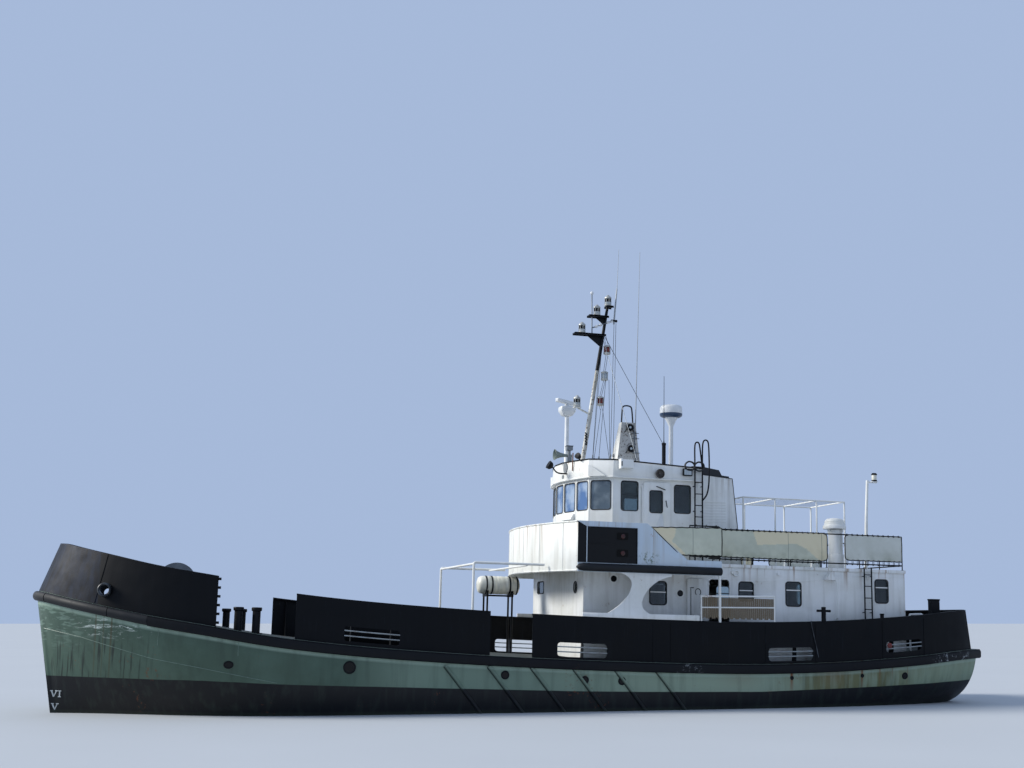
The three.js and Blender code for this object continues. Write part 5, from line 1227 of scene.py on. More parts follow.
low_mast = [tube([mast_at(6.36), mast_at(7.9), mast_at(9.05)], [0.066, 0.06, 0.055], 20),
            lathe([(0.12, 0), (0.12, 0.02), (0.07, 0.03)], mast_at(6.362), (0, 0, 1), 24),
            tube([mast_at(7.82), (1.62, -0.2, 7.86), (1.4, -0.36, 7.91)], 0.026, 8),
            box(1.26, 1.45, -0.47, -0.29, 7.918, 7.938)]
high_mast = [tube([mast_at(9.05), mast_at(9.6), mast_at(11.18)], [0.054, 0.05, 0.036], 18)]
platform = ((-0.11, 0.11, 0.012, 0.012), (-0.11, -0.1, 0.04, 0.02), (0.1, 0.11, 0.04, 0.02))
for z, fore, aft in ((10.07, 0.85, 0.06), (10.6, 0.52, 0.06), (10.9, 0.06, 0.15)):
    x = mast_at(z)[0]
    high_mast += [box(x - fore, x + aft, y0, y1, z - low, z + up) for y0, y1, low, up in platform]
x = mast_at(10.06)[0]
high_mast.append(plate([(mast_at(9.72)[0], 9.72), (mast_at(9.8)[0], 9.8), (x, 10.055), (x - 0.5, 10.055)],
                       beside(0), -0.006, 0.006))
x = mast_at(10.58)[0]
high_mast += [plate([(mast_at(10.35)[0], 10.35), (x, 10.585), (x - 0.34, 10.585)], beside(0), -0.006, 0.006),
              tube([(2.43, -0.04, 10.5), (2.6, -0.04, 10.5)], 0.035, 10)]
piece("mast_pole", low_mast, mast_metal, stands_for="mast", slot="white_paint")
piece("mast_head", high_mast, black_enamel)
lamps, lenses, louvres = [], [], []
for x, y, z in ((1.588, 0, 10.082), (2.02, 0, 10.612), (2.34, 0, 10.912), (1.354, -0.38, 7.938)):
    lamps += [lathe([(0.085, 0), (0.098, 0.012), (0.098, 0.05), (0.08, 0.06)], (x, y, z), sides=24),
              lathe([(0.085, 0.21), (0.1, 0.225), (0.095, 0.26), (0.05, 0.29), (0.03, 0.32), (0, 0.325)],
                    (x, y, z), sides=24)]
    lamps += [tube([(x + 0.094 * np.cos(a), y + 0.094 * np.sin(a), z + up) for up in (0.03, 0.23)], 0.007, 6)
              for a in full_turn(8)]
    lenses.append(lathe([(0.075, 0.06), (0.08, 0.075), (0.08, 0.12)], (x, y, z), sides=24))
    louvres.append(lathe([(0.082, 0.12), (0.084, 0.13), (0.084, 0.205), (0, 0.21)], (x, y, z), sides=24))
white_plastic = finish("white moulding", "dcdede", "ced1d2", scale=4.0, rough=(0.3, 0.42), depth=0.0003)
worn_alloy = finish("worn alloy", "9a9c98", "c9cac6", scale=14.0, rough=(0.35, 0.6), depth=0.001,
                    Metallic=0.4)
piece("masthead_lamps", lamps, worn_alloy, smooth=50)
piece("masthead_lenses", lenses, finish("ribbed lens", "9fa8ac", "c5cdd1", scale=16.0, rough=(0.05, 0.12)),
      smooth=30)
piece("masthead_lamp_screens", louvres, black_enamel, smooth=40)
whip = [tube([(2.505, -0.04, 10.4), (2.512, -0.04, 10.5), (2.585, -0.04, 11.4), (2.592, -0.04, 11.46),
              (2.632, -0.04, 12.58)], [0.026, 0.026, 0.02, 0.008, 0.005], 8),
        tube([(2.96, -0.6, 7.3), (2.985, -0.6, 8.6), (3.02, -0.6, 10.4), (3.06, -0.6, 12.39)],
             [0.016, 0.013, 0.009, 0.006], 8)]
piece("whip_rods", whip, finish("grey fibreglass", "8b9094", "a4a9ac", scale=20.0, rough=(0.35, 0.5)))
insulators = [lathe([(0, -0.05), (0.03, -0.04), (0.042, -0.02), (0.03, 0), (0.042, 0.02), (0.03, 0.04),
                     (0, 0.05)], (x, -0.04, 10.257 + 0.405 * (x - 1.88)), (0.93, 0, 0.37), 14)
              for x in (2.0, 2.12, 2.33, 2.44)]
piece("mast_insulators", insulators, white_plastic)

lantern_caps, lantern_glass_red, lantern_glass_clear = [], [], []
for i, (x, z) in enumerate(((2.317, 9.655), (2.252, 8.915), (2.144, 8.2))):
    lantern_caps += [lathe([(0.03, 0.145), (0.06, 0.13), (0.098, 0.11), (0.1, 0.08)], (x, -0.03, z),
                           sides=20),
                     lathe([(0.09, -0.125), (0.1, -0.11), (0.1, -0.075)], (x, -0.03, z), sides=20)]
    lantern_caps += [tube([(x + 0.095 * np.cos(a), -0.03 + 0.095 * np.sin(a), z + up) for up in (-0.1, 0.1)],
                          0.006, 6) for a in full_turn(6)]
    glass = lathe([(0.078, -0.075), (0.084, -0.05), (0.084, 0.05), (0.078, 0.08)], (x, -0.03, z), sides=20)
    (lantern_glass_clear if i == 1 else lantern_glass_red).append(glass)
piece("signal_lantern_caps", lantern_caps, worn_alloy, smooth=50)
piece("signal_lanterns_red", lantern_glass_red,
      finish("red lantern glass", "4a1512", "7d2a1e", scale=7.0, rough=(0.08, 0.15)), smooth=50)
piece("signal_lantern_clear", lantern_glass_clear, lamp_front, smooth=50)


def wire(a, b, r=0.005, sag=0.0, n=12):
    """A line between two points that sags by so many metres in its middle."""
    a, b = np.asarray(a, float), np.asarray(b, float)
    t = np.linspace(0, 1, n)[:, None]
    return tube(a + (b - a) * t - np.array((0, 0, 1.0)) * sag * 4 * t * (1 - t), r, 6)


def bottle_screw(a, b, start):
    """A rigging screw on the line from a up to b, its foot at start metres from a."""
    a, b = np.asarray(a, float), np.asarray(b, float)
    way = (b - a) / np.linalg.norm(b - a)
    return lathe([(0.012, 0.0), (0.012, 0.05), (0.02, 0.06), (0.02, 0.2), (0.012, 0.21), (0.012, 0.26)],
                 a + way * start, way, 12)


stays, screws, halyards = [], [], []
top = mast_at(10.02)
for x, y in ((2.55, -1.92), (2.55, 1.92)):
    a = (x, y, visor_top(x) + 0.01)
    stays.append(wire(a, top, 0.007))
    screws.append(bottle_screw(a, top, 0.06))
stays.append(wire((3.545, -1.17, 6.955), mast_at(10.12), 0.008))
for (x1, z1), x0 in (((2.508, 10.38), 2.25), ((2.378, 8.811), 2.24), ((2.081, 9.213), 1.74),
                     ((2.29, 8.861), 1.91), ((2.156, 7.98), 1.77), ((2.2, 7.98), 2.25),
                     ((2.566, 10.48), 2.33)):
    a = np.array((x0, -0.6, visor_top(x0) + 0.01))
    b = np.array((x1, -0.05, z1))
    halyards.append(wire(a, b, 0.006))
    screws.append(lathe([(0, 0), (0.018, 0.01), (0.022, 0.05), (0.018, 0.09), (0, 0.1)], a + (b - a) * 0.06,
                        b - a, 10))
for low, high in (((2.144, 8.34), (2.252, 8.79)), ((2.252, 9.06), (2.317, 9.53)),
                  ((2.317, 9.8), (2.25, 10.04)), ((2.17, 7.97), (2.144, 8.08))):
    for y in (-0.11, 0.05):
        halyards.append(wire((low[0], y, low[1]), (high[0], y, high[1]), 0.006))
turn = np.linspace(0, 9 * np.pi, 60)
hank = np.stack([1.72 + 0.022 * np.cos(turn), -0.1 + 0.02 * np.sin(turn), 6.95 + 0.34 * turn / turn[-1]], -1)
halyards.append(tube(hank, 0.018, 7))
piece("mast_stays", stays, galvanised)
piece("mast_yard", [tube([(1.88, -0.04, 10.257), (2.53, -0.04, 10.52)], 0.016, 8)], galvanised)
piece("mast_halyards", halyards, rubber)
piece("mast_bottle_screws", screws, galvanised)

piece("mast_probe", [tube([(1.869, -0.04, 10.08), (1.853, -0.04, 11.2)], 0.016, 8)],
      finish("dull grey alloy", "6c7276", "858b8f", scale=12.0, rough=(0.4, 0.6), Metallic=0.5))
ball = lathe([(0, -0.05), (0.03, -0.04), (0.045, -0.01), (0.045, 0.02), (0.03, 0.045), (0, 0.055)],
             (1.853, -0.04, 11.24), sides=20)
piece("mast_probe_head", [ball], white_plastic, smooth=50)

stem = [lathe([(0.13, 0.0), (0.13, 0.02), (0.075, 0.03), (0.062, 0.06), (0.058, 1.39)],
              (1.27, 0.25, visor_top(1.27)), sides=24)]
head_rows = []
for z, sx, sy in ((7.76, 0.09, 0.085), (7.775, 0.12, 0.11), (7.8, 0.15, 0.125), (7.895, 0.21, 0.165),
                  (7.91, 0.215, 0.17), (8.0, 0.215, 0.17), (8.02, 0.205, 0.16), (8.045, 0.12, 0.1),
                  (8.058, 0.09, 0.08)):
    corner = rounded(1.27 - sx, 1.27 + sx, 0.25 - sy, 0.25 + sy, min(sx, sy) * 0.3, 4)
    head_rows.append(np.c_[corner, np.full(len(corner), z)])
stem.append(skin(np.array(head_rows)))
piece("radar_pedestal", stem, white_plastic, smooth=42, stands_for="radar_post", slot="moulded_plastic")
angle = np.arctan2(0.62, 0.78)
along, across = np.array((np.cos(angle), np.sin(angle), 0)), np.array((-np.sin(angle), np.cos(angle), 0))
middle = np.array((1.27, 0.25, 8.155))
rows = []
for t, grow in ((-0.5, 0.5), (-0.497, 0.8), (-0.485, 1), (0.485, 1), (0.497, 0.8), (0.5, 0.5)):
    shape = rounded(-0.055 * grow, 0.055 * grow, -0.053 * grow, 0.053 * grow, 0.018 * grow, 4)
    rows.append(middle + along * t + across * shape[:, :1] + np.array((0, 0, 1.0)) * shape[:, 1:])
scanner = [skin(np.array(rows)), lathe([(0.06, -0.094), (0.06, -0.05)], middle, sides=24)]
piece("radar_bar", scanner, white_plastic, body="scanner", stands_for="radar_scanner",
      slot="moulded_plastic")

base = visor_top(4.0)
dome = [lathe([(0.14, 0.0), (0.14, 0.015), (0.07, 0.03), (0.062, 0.05), (0.06, 7.52 - base),
               (0.085, 7.58 - base), (0.13, 7.68 - base), (0.185, 7.77 - base)], (4.0, -0.6, base),
              sides=32)]
cap = [lathe([(0.302, 7.88), (0.308, 7.895), (0.306, 8.03), (0.295, 8.075), (0.26, 8.105), (0.18, 8.122),
              (0, 8.13)], (4.0, -0.6, 0), sides=48)]
band = [lathe([(0.185, 7.765), (0.25, 7.785), (0.292, 7.81), (0.309, 7.84), (0.31, 7.882)], (4.0, -0.6, 0),
              sides=48)]
piece("radome_stem", dome, white_plastic, stands_for="radome", slot="moulded_plastic", smooth=45)
piece("radome_cap", cap, white_plastic, smooth=45)
piece("radome_band", band, finish("dark blue moulding", "1c3350", "26405c", scale=5.0, rough=(0.25, 0.35)),
      smooth=45)


def port_face_shade_zone(tree, place, base, blotch):
    """Painted shade greys the face that looks to port, which also takes the freckles; the other faces keep
    the plain paint.
    """
    grey = freckled_zone(tree, place, laid(tree, base, "a5a29a", 0.7), blotch)
    return laid(tree, base, grey, rising(tree, add(tree, "NewGeometry", {}, "Normal"), "Y", -0.5, -0.9))


pylon_paint = steel_paint("pylon enamel", "d8d8d3", "c0bfb9", "8d8a82", rust="7a4a2c", runs=0.5, specks=1.0,
                          gloss=(0.4, 0.6), zone=port_face_shade_zone)
foot = np.array([(2.33, -0.9), (3.01, -0.9), (3.01, -0.3), (2.33, -0.3)])
head = np.array([(2.53, -0.7), (2.93, -0.7), (2.93, -0.5), (2.53, -0.5)])
rows = []
for t in (0.0, 0.05, 0.35, 0.7, 1.0):
    z = visor_top(foot[:, 0]) * (1 - t) + 7.55 * t
    rows.append(np.c_[foot * (1 - t) + head * t, z + 0.001])
hoop = eased([(2.56, -0.6, 7.5), (2.575, -0.6, 7.9), (2.6, -0.6, 8.025), (2.83, -0.6, 8.025),
              (2.862, -0.6, 7.9), (2.89, -0.6, 7.5)])
piece("pylon_casing", [skin(np.array(rows))], pylon_paint, stands_for="antenna_pylon", slot="white_paint",
      bevel=0.006)
piece("pylon_hoop", [tube(hoop, 0.02, 10)], black_enamel)
lamps, fronts, rings = [], [], []


def pylon_face(z):
    """y of the pylon's port face at height z, which leans in by 0.2 in 1.25 metres."""
    return -0.9 + 0.2 * (z - 6.3) / 1.25


for z in (7.39, 6.8):
    y = pylon_face(z)
    lamps.append(lathe([(0.05, 0), (0.085, 0.03), (0.1, 0.08), (0.095, 0.1), (0.075, 0.085), (0, 0.08)],
                       (2.74, y, z), (0, -1, 0.15), 24))
    fronts.append(lathe([(0, 0.086), (0.035, 0.084), (0.03, 0.1), (0, 0.104)], (2.74, y, z), (0, -1, 0.15),
                        20))
    rings.append(tube([(2.5, y + 0.02, z - 0.12), (2.62, y - 0.02, z - 0.1), (2.66, y - 0.06, z)], 0.012, 6))
conduit = [tube([(2.87, pylon_face(z) - 0.02, z) for z in np.linspace(6.32, 7.5, 6)], 0.012, 8)]
for z in (6.7, 7.1, 7.25):
    y = pylon_face(z)
    conduit.append(box(2.8, 3.0, y - 0.035, y + 0.0, z, z + 0.015))
piece("pylon_lamps", [*lamps, *rings], black_enamel, smooth=50)
piece("pylon_lamp_fronts", fronts, lamp_front, smooth=50)
piece("pylon_conduit", conduit, galvanised)
base = visor_top(3.56)
socket = [lathe([(0.1, 0), (0.1, 0.015), (0.055, 0.02), (0.052, 0.05), (0.052, 6.9 - base),
                 (0.06, 6.93 - base), (0.06, 6.97 - base), (0.02, 6.98 - base), (0.01, 7.05 - base),
                 (0.006, 8.8 - base)], (3.56, -1.2, base), sides=24)]
piece("whip_socket", socket, black_enamel, stands_for="whip_antenna", slot="black_paint")

horn_grey = finish("horn enamel", "7f8a84", "6a756f", scale=8.0, rough=(0.35, 0.5))
mouth = (0.762, -0.3, 6.61)
outer = lathe([(0.147, 0.0), (0.152, 0.004), (0.148, 0.01), (0.105, 0.07), (0.07, 0.16), (0.048, 0.26),
               (0.036, 0.37), (0.04, 0.38), (0.04, 0.49), (0, 0.49)], mouth, (1, 0, -0.02), 32, closed=False)
outer = outer[0], outer[1][:-2] + [outer[1][-1]]
bowl = lathe([(0.147, 0.0), (0.1, 0.066), (0.065, 0.15), (0.04, 0.25), (0.02, 0.3), (0, 0.3)], mouth,
             (1, 0, -0.02), 32, closed=False)
inner = bowl[0], [list(f)[::-1] for f in bowl[1][:-2]] + [list(bowl[1][-1])[::-1]]
piece("horn_bell", [outer, inner, lathe([(0.025, 0), (0.025, 0.25)], (1.23, -0.3, 6.37), sides=14)],
      horn_grey, smooth=50, stands_for="horn", slot="moulded_plastic")
gear = [box(1.08, 1.25, -0.42, -0.26, 6.74, 6.85), box(1.13, 1.2, -0.38, -0.3, 6.38, 6.74)]
piece("horn_relay_box", gear, grey_steel, bevel=0.008)
piece("horn_relay_lid", [box(1.07, 1.26, -0.43, -0.25, 6.85, 6.866)], black_enamel, bevel=0.003)
search = [lathe([(0, 0.14), (0.06, 0.13), (0.1, 0.09), (0.112, 0.02), (0.115, 0.0), (0.1, 0.0), (0, 0.012)],
                (0.5, -0.62, 6.3), (0.8, 0.05, -0.45), 28),
          tube(eased([(0.62, -0.62, 6.24), (0.7, -0.62, 6.12), (0.8, -0.62, 6.07), (1.03, -0.62, 6.07)]),
               0.02, 8),
          lathe([(0.05, 0.12), (0.08, 0.06), (0.085, 0.0), (0.07, 0.0), (0, 0.012)], (1.09, -1.3, 6.5),
                (0.5, 0.3, -0.35), 20),
          tube(eased([(1.12, -1.28, 6.45), (1.2, -1.28, 6.35), (1.34, -1.28, 6.31)]), 0.016, 8)]
piece("searchlights", search, black_enamel, smooth=50)
turn = full_turn(24)
on_fascia = facing((0.975, -0.36), (1.115, -1.03))
oval = np.c_[0.19 + 0.1 * np.cos(turn), 6.23 + 0.135 * np.sin(turn)]
small_plate = rounded(0.02, 0.1, 5.96, 6.05, 0.005, 2)
piece("fascia_oval", [plate(flat, on_fascia, -0.03, 0.022) for flat in (oval, small_plate)], grey_steel)
rusty = finish("rusted strut", "5d3a24", "7c4d2e", scale=18.0, rough=(0.7, 0.9), depth=0.002)
piece("fascia_strut", [tube([(1.075, -0.95, 6.12), (1.085, -0.95, 6.6)], 0.016, 8)], rusty)
ledge_at = facing((1.03, -0.34), (1.165, -1.0))
ledge = skin(np.array([[ledge_at(np.array([(along, z)]), off)[0]
                        for off, z in ((-0.002, 4.83), (0.1, 4.83), (0.1, 4.88), (0.03, 4.985),
                                       (-0.002, 4.985))] for along in (0.03, 0.62)]))
button = lathe([(0.03, 0), (0.045, 0.03), (0.03, 0.06), (0, 0.07)], (1.56, -1.77, 4.68), (-0.59, -0.81, 0),
               16)
piece("wheelhouse_small_fittings", [ledge, button], white_steel, bevel=0.004)


# Roof rails, cloth dodgers and the cloth banner. The cloths are weathered canvas, hemmed round a rope and
# laced to the black pipe rails through eyelets a hand's length apart, so that the hems scallop.
RAIL_FOOT, RAIL_TOP = 3.87, 4.64
ROOF = 3.7445
rails = []
for side in (-1, 1):
    for z in (RAIL_FOOT, RAIL_TOP):
        path = [(3.56, 3.02, z), (4.32, 3.02, z), (4.355, 3.005, z), (4.37, 2.97, z), (4.37, 2.34, z),
                (4.385, 2.305, z), (4.42, 2.29, z), (9.94, 2.29, z), (9.975, 2.275, z), (9.99, 2.24, z),
                (9.99, 0, z)]
        rails.append(tube([(x, side * y, h) for x, y, h in path], 0.0175, 10))
    for x, y in ((3.56, 3.02), (4.37, 3.02), *((x, 2.29) for x in (4.5, 5.6, 6.7, 7.75, 8.9, 9.99))):
        rails += [tube([(x, side * y, ROOF + 0.0015), (x, side * y, RAIL_TOP)], 0.0145, 8),
                  lathe([(0.035, 0), (0.035, 0.008), (0.018, 0.012)], (x, side * y, ROOF), sides=14)]
for y in (-1.1, 0.0, 1.1):
    rails.append(tube([(9.99, y, ROOF + 0.0015), (9.99, y, RAIL_TOP)], 0.0145, 8))
piece("roof_rail_pipes", rails, black_enamel, stands_for="roof_rails", slot="black_paint")


def canvas_finish(name, first, second, patch, seams=()):
    """Woven cloth a millimetre to the thread, sun-bleached in clouds, with green mould along its foot,
    tan where the mesh marks a patch, and dark stitching at the seams' distances."""
    def build(tree, place):
        cloud = add(tree, "TexNoise", {"Vector": place, "Scale": 1.3, "Detail": 6.0, "Roughness": 0.6})
        base = laid(tree, first, second, add(tree, "MapRange", {0: cloud, 1: 0.38, 2: 0.62}))
        base = laid(tree, base, patch, marked(tree, "mended"))
        for x in seams:
            base = laid(tree, base, "4f524a", about(tree, place, "X", x, 0.014, 0.006, 0.45))
        base = laid(tree, base, "7d8268", patchy(tree, place, 4.0, 6.0, (0.45, 0.7, 0, 0.55)),
                    rising(tree, place, "Z", 4.25, 3.88))
        weave = add(tree, "TexWave", {"Vector": place, "Scale": 160.0, "Distortion": 0.4}, "Fac",
                    bands_direction="DIAGONAL")
        return base, add(tree, "MapRange", {0: cloud, 3: 0.82, 4: 0.95}), weave, 0.0006
    return surface(name, build, Sheen_Weight=0.25, Sheen_Roughness=0.5)


def cloth(corners, laces, billow=0.02, thick=0.0025, rows_of=34, seed=1, turned=()):
    """A laced cloth between four corners (x, y, z) given anticlockwise from the lower fore one as seen
    from outside. It billows out between its hems, the hems scallop between the laces, and creases run
    in from each eyelet and fade within a hand's length. Corners (u, v) in turned are rounded: points
    in the square at the corner move in until their larger distance is their distance."""
    a, b, c, d = (np.asarray(p, float) for p in corners)
    long, tall = np.linalg.norm(b - a), np.linalg.norm(d - a)
    across = int(long / 0.022)
    u, v = np.meshgrid(np.linspace(0, 1, across + 1), np.linspace(0, 1, rows_of + 1), indexing="ij")
    for end, top in turned:
        right, up = (1 if end else -1), (1 if top else -1)
        off_x = np.maximum(0, right * (u - end) * long + 0.11)
        off_z = np.maximum(0, up * (v - top) * tall + 0.11)
        size = np.maximum(np.hypot(off_x, off_z), 1e-9)
        pull = np.where((off_x > 0) & (off_z > 0), np.maximum(off_x, off_z) / size - 1, 0)
        u, v = u + right * pull * off_x / long, v + up * pull * off_z / tall
    base = (a * ((1 - u) * (1 - v))[..., None] + b * (u * (1 - v))[..., None] + c * (u * v)[..., None]
            + d * ((1 - u) * v)[..., None])
    n = max(2, round(long / laces))
    scallop = 0.013 * np.sin(np.pi * u * n) ** 2
    near_top, near_foot = np.exp(-(1 - v) * tall / 0.05), np.exp(-v * tall / 0.05)
    base[..., 2] += scallop * (near_foot - near_top)
    rng = np.random.default_rng(seed)
    wander = sum(rng.uniform(0.3, 1)
                 * np.sin(2 * np.pi * (k * u * long / 1.9 + rng.uniform() + 0.35 * rng.normal() * v))
                 for k in (1, 1.7, 2.9))
    crease = np.abs(np.sin(np.pi * (u * n + 0.16 * np.sin(5 * v)))) ** 0.7
    fade = np.exp(-(1 - v) * tall / 0.11) + 0.8 * np.exp(-v * tall / 0.11)
    sag = np.sin(np.pi * v) ** 0.8 * (billow * (0.55 + 0.45 * np.abs(np.sin(np.pi * u * long / 1.1)))
                                      + 0.004 * wander)
    out = 0.001 + sag + 0.006 * crease * fade * (1 - np.exp(-np.minimum(v, 1 - v) * tall / 0.03))
    out += 0.0035 * np.sin(np.pi * v) * np.sin(2 * np.pi * (3.1 * u * long + 1.7 * v + 0.4 * np.sin(6 * u)))
    side = np.sign(a[1])
    front, back = (base + np.stack([0 * out, side * np.maximum(out, 0.0005) + more, 0 * out], -1)
                   for more in (side * thick, 0))
    m, k = u.shape
    i, j = np.meshgrid(np.arange(m - 1), np.arange(k - 1), indexing="ij")
    q = i * k + j
    quads = np.stack([q, q + k, q + k + 1, q + 1], -1).reshape(-1, 4)
    total = m * k
    rim = np.concatenate([np.arange(m) * k, (m - 1) * k + np.arange(1, k), (np.arange(m - 1)[::-1]) * k + k
                          - 1, np.arange(1, k - 1)[::-1]])
    after = np.roll(rim, -1)
    walls = np.stack([rim, rim + total, after + total, after], -1)
    faces = np.concatenate([quads, quads[:, ::-1] + total, walls])
    if side > 0:
        faces = faces[:, ::-1]
    points = np.concatenate([front.reshape(-1, 3), back.reshape(-1, 3)])
    hem = front.reshape(-1, 3)[rim] - np.array((0, side * thick / 2, 0))
    return (points, faces.tolist()), hem, n


dodger_cloth = canvas_finish("dodger canvas", "bdc0ad", "cbcdb9", "ddd2b2", (3.62, 6.63, 7.6))
banner_cloth = canvas_finish("banner canvas", "cfd1c8", "c2c4b9", "cfd1c8")
rope = finish("black rope", "08090a", "141518", scale=40.0, rough=(0.75, 0.95), depth=0.002, grain=200.0,
              Specular_IOR_Level=0.2)
# Outlines, as (x, z), of the patches where the dodger cloth is tan.
TAN_PATCHES = [[(2.3, 4.7), (3.19, 4.7), (3.13, 4.355), (3.06, 4.22), (3.42, 3.93), (3.3, 3.8), (2.3, 4.4)],
          [(5.6, 4.7), (7.8, 4.7), (7.8, 4.0), (7.55, 3.9), (7.15, 4.216), (6.86, 4.337), (5.74, 4.268)]]
for side_name, side in (("port", -1), ("starboard", 1)):
    for name, stuff, flat, seed, turned, y, rail_y, corners in (
            ("dodger_wing", dodger_cloth, (0.72, 1.96), 1, (), 3.078, 3.02,
             ((3.28, 3.88), (4.41, 3.89), (4.41, 4.61), (2.5, 4.56))),
            ("dodger_roof", dodger_cloth, (0.76, 3.36), 2, ((1, 0), (1, 1)), 2.3085, 2.29,
             ((4.46, 3.92), (7.76, 3.91), (7.76, 4.655), (4.46, 4.63))),
            ("banner", banner_cloth, (0.7, 1.72), 3, ((0, 0), (0, 1)), 2.3085, 2.29,
             ((8.28, 3.96), (9.97, 3.96), (9.97, 4.645), (8.28, 4.645)))):
        corners = [(x, side * y, z) for x, z in corners]
        shape, hem, n = cloth(corners, 0.16, seed=seed, turned=turned)
        made = piece(name + "_cloth_" + side_name, [shape], stuff, smooth=60,
                     stands_for=name + "_" + side_name, slot="canvas")
        mended = sum(within(shape[0][:, [0, 2]], np.array(patch)) for patch in TAN_PATCHES) > 0
        mended &= name != "banner"
        tell(made, "mended", mended.astype(float))
        edging = piece(name + "_hem_rope_" + side_name, [tube(hem[::2], 0.014, 7, shut=True)], rope)
        loops = []
        for z_rail, ends in ((RAIL_TOP, (corners[3], corners[2])), (RAIL_FOOT, (corners[0], corners[1]))):
            for t in (np.arange(n) + 0.5) / n:
                x, _, z = np.asarray(ends[0]) * (1 - t) + np.asarray(ends[1]) * t
                if name == "dodger_wing" and x < 3.6:
                    continue
                y0, y1 = side * (rail_y - 0.026), side * (y + 0.018)
                z0, z1 = (z - 0.035, z_rail + 0.026) if z_rail > 4 else (z_rail - 0.026, z + 0.035)
                loop = eased([(x, y0, z0), (x, y0, z1), (x, y1, z1), (x, y1, z0), (x, y0, z0)], 2)
                loops.append(tube(loop, 0.007, 6))
        lacing = piece(name + "_lacing_" + side_name, loops, rope)


# Deckhouse roof gear: the white pipe frame with its wires, the mushroom ventilator, and the stern light.
awning = []
xs = (5.95, 6.9, 8.15, 9.0)
for y in (-1.0, 1.0):
    for x in xs:
        awning += [tube([(x, y, 3.748), (x, y, 5.65)], 0.024, 10),
                   lathe([(0.055, 0), (0.055, 0.01), (0.03, 0.014)], (x, y, 3.7448), sides=16)]
    awning.append(tube([(5.95, y, 5.65), (9.0, y, 5.65)], 0.022, 10))
for x in xs:
    awning.append(tube([(x, -1.0, 5.65), (x, 1.0, 5.65)], 0.02, 10))
piece("awning_pipes", awning, white_steel, stands_for="awning_frame", slot="white_paint")
strings = [wire((5.95, y, 5.672), (9.0, y, 5.672), 0.004, sag=0.012) for y in np.linspace(-0.8, 0.8, 7)]
piece("awning_wires", strings, galvanised)

cowl = [lathe([(0.26, 3.7445), (0.26, 3.756), (0.218, 3.76), (0.215, 3.78), (0.215, 4.12), (0.205, 4.135),
               (0.192, 4.14), (0.19, 4.16), (0.19, 4.74), (0.196, 4.76), (0.19, 4.79)], (8.23, -1.9, 0),
              sides=40)]
cap_shape = [(0, 4.812), (0.29, 4.812), (0.302, 4.805), (0.308, 4.82), (0.31, 4.88), (0.304, 4.9),
             (0.275, 4.91), (0.268, 4.93), (0.272, 4.95)]
for r, z in ((0.268, 4.97), (0.262, 5.01), (0.24, 5.05), (0.2, 5.08), (0.12, 5.095)):
    cap_shape += [(r, z), (r - 0.01, z + 0.004)]
cap_shape.append((0, 5.1))
cowl.append(lathe(cap_shape, (8.205, -1.9, 0), sides=44))
for a in full_turn(4) + 0.4:
    x, y = 8.23 + 0.25 * np.cos(a), -1.9 + 0.25 * np.sin(a)
    cowl.append(box(x - 0.01, x + 0.01, y - 0.01, y + 0.01, 4.72, 4.83))
cowl.append(tube([(8.42, -1.9, 4.35), (8.5, -1.9, 4.38), (8.5, -1.9, 4.46)], 0.012, 8))
piece("ventilator_cowl", cowl, white_steel, smooth=38, stands_for="ventilator", slot="white_paint")

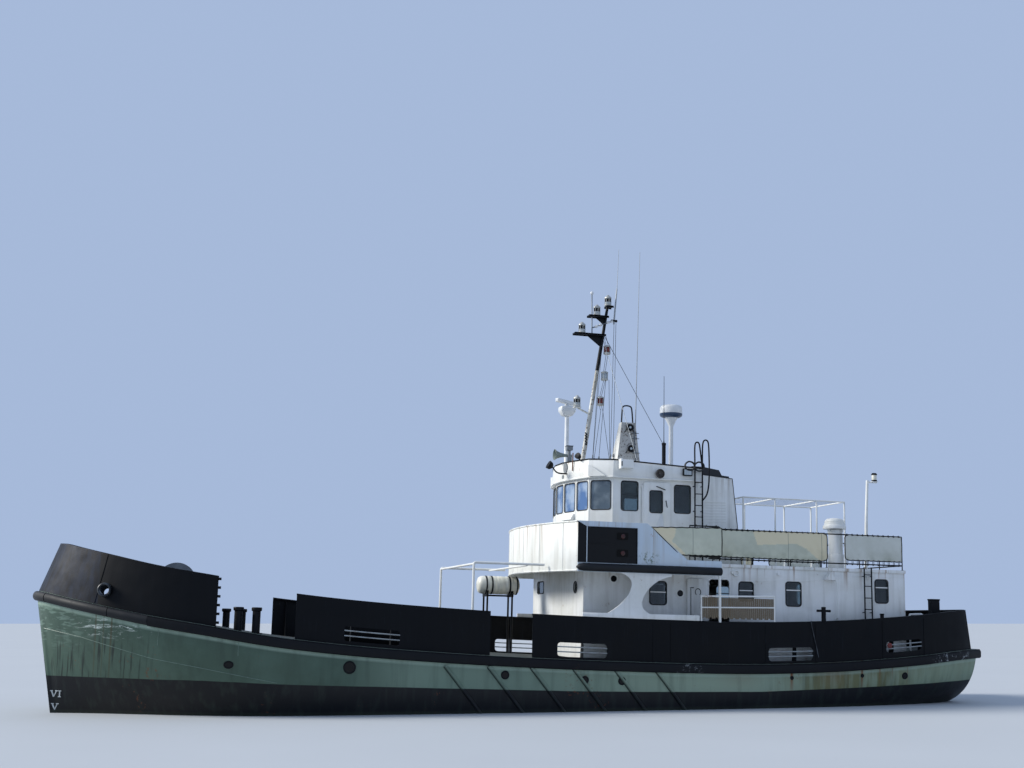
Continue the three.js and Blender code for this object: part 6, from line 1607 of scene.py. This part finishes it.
light = [lathe([(0.1, 0), (0.1, 0.014), (0.045, 0.02)], (9.8, -0.7, ROOF), sides=18),
         tube([(9.8, -0.7, 3.75), (9.84, -0.7, 5.2), (9.9, -0.7, 6.33)], [0.047, 0.044, 0.038], 14),
         box(9.89, 10.2, -0.712, -0.688, 6.26, 6.3), box(10.03, 10.21, -0.76, -0.64, 6.298, 6.312)]
piece("stern_light_pole", light, white_steel, stands_for="stern_light_mast", slot="white_paint")
piece("stern_light_cap",
      [lathe([(0.075, 6.31), (0.08, 6.33), (0.075, 6.35)], (10.12, -0.7, 0), sides=20),
       lathe([(0.078, 6.49), (0.085, 6.51), (0.06, 6.545), (0, 6.555)], (10.12, -0.7, 0), sides=20)],
      black_enamel, smooth=50)
piece("stern_light_lens",
      [lathe([(0.066, 6.35), (0.07, 6.37), (0.07, 6.47), (0.066, 6.49)], (10.12, -0.7, 0), sides=20)],
      raft_shell, smooth=50)

# Stern gear: a towing bitt and a capped post inside the aft bulwark, a short white rail, the screw cast in
# bronze, and the plated rudder under red lead.
deck = row(11.1)[1]
posts = [box(10.95, 11.2, -2.12, -1.94, deck + 0.05, 2.98), box(10.94, 11.21, -2.13, -1.93, 2.98, 3.02),
         box(10.91, 11.24, -2.15, -1.91, 2.55, 2.6),
         lathe([(0, row(9.08)[1]), (0.05, row(9.08)[1]), (0.05, 2.54), (0.06, 2.55), (0.06, 2.575),
                (0, 2.58)], (9.085, -2.75, 0), sides=20)]
piece("stern_mooring_posts", posts, black_enamel, bevel=0.006)
rail = [(10.17, -2.3, row(10.2)[1] + 0.01), (10.17, -2.3, 2.56), (10.19, -2.3, 2.585), (10.52, -2.3, 2.6),
        (10.54, -2.3, 2.58), (10.54, -2.3, row(10.5)[1] + 0.01)]
piece("stern_hand_rail", [tube(rail, 0.03, 10)], white_steel, smooth=50)


def cast_bronze(tree, place):
    """Bronze gone brown in clouds a hand across, with green salts in the hollows."""
    cloud = add(tree, "TexNoise", {"Vector": place, "Scale": 7.0, "Detail": 6.0})
    salt = patchy(tree, place, 18.0, 7.0, (0.56, 0.68, 0, 0.7))
    rough = add(tree, "MapRange", {0: salt, 3: 0.28, 4: 0.7})
    return laid(tree, laid(tree, "8a6a3c", "6a5230", cloud), "6f8a72", salt), rough, cloud, 0.0015


coat("propeller", surface("cast bronze", cast_bronze, Metallic=0.9), bevel=0.002)
coat("rudder", steel_paint("red lead", "5a2e24", "6a3a2c", "3c2a22", rust="7a4a2c", runs=0.3, specks=0.6))


low, high = cad_box
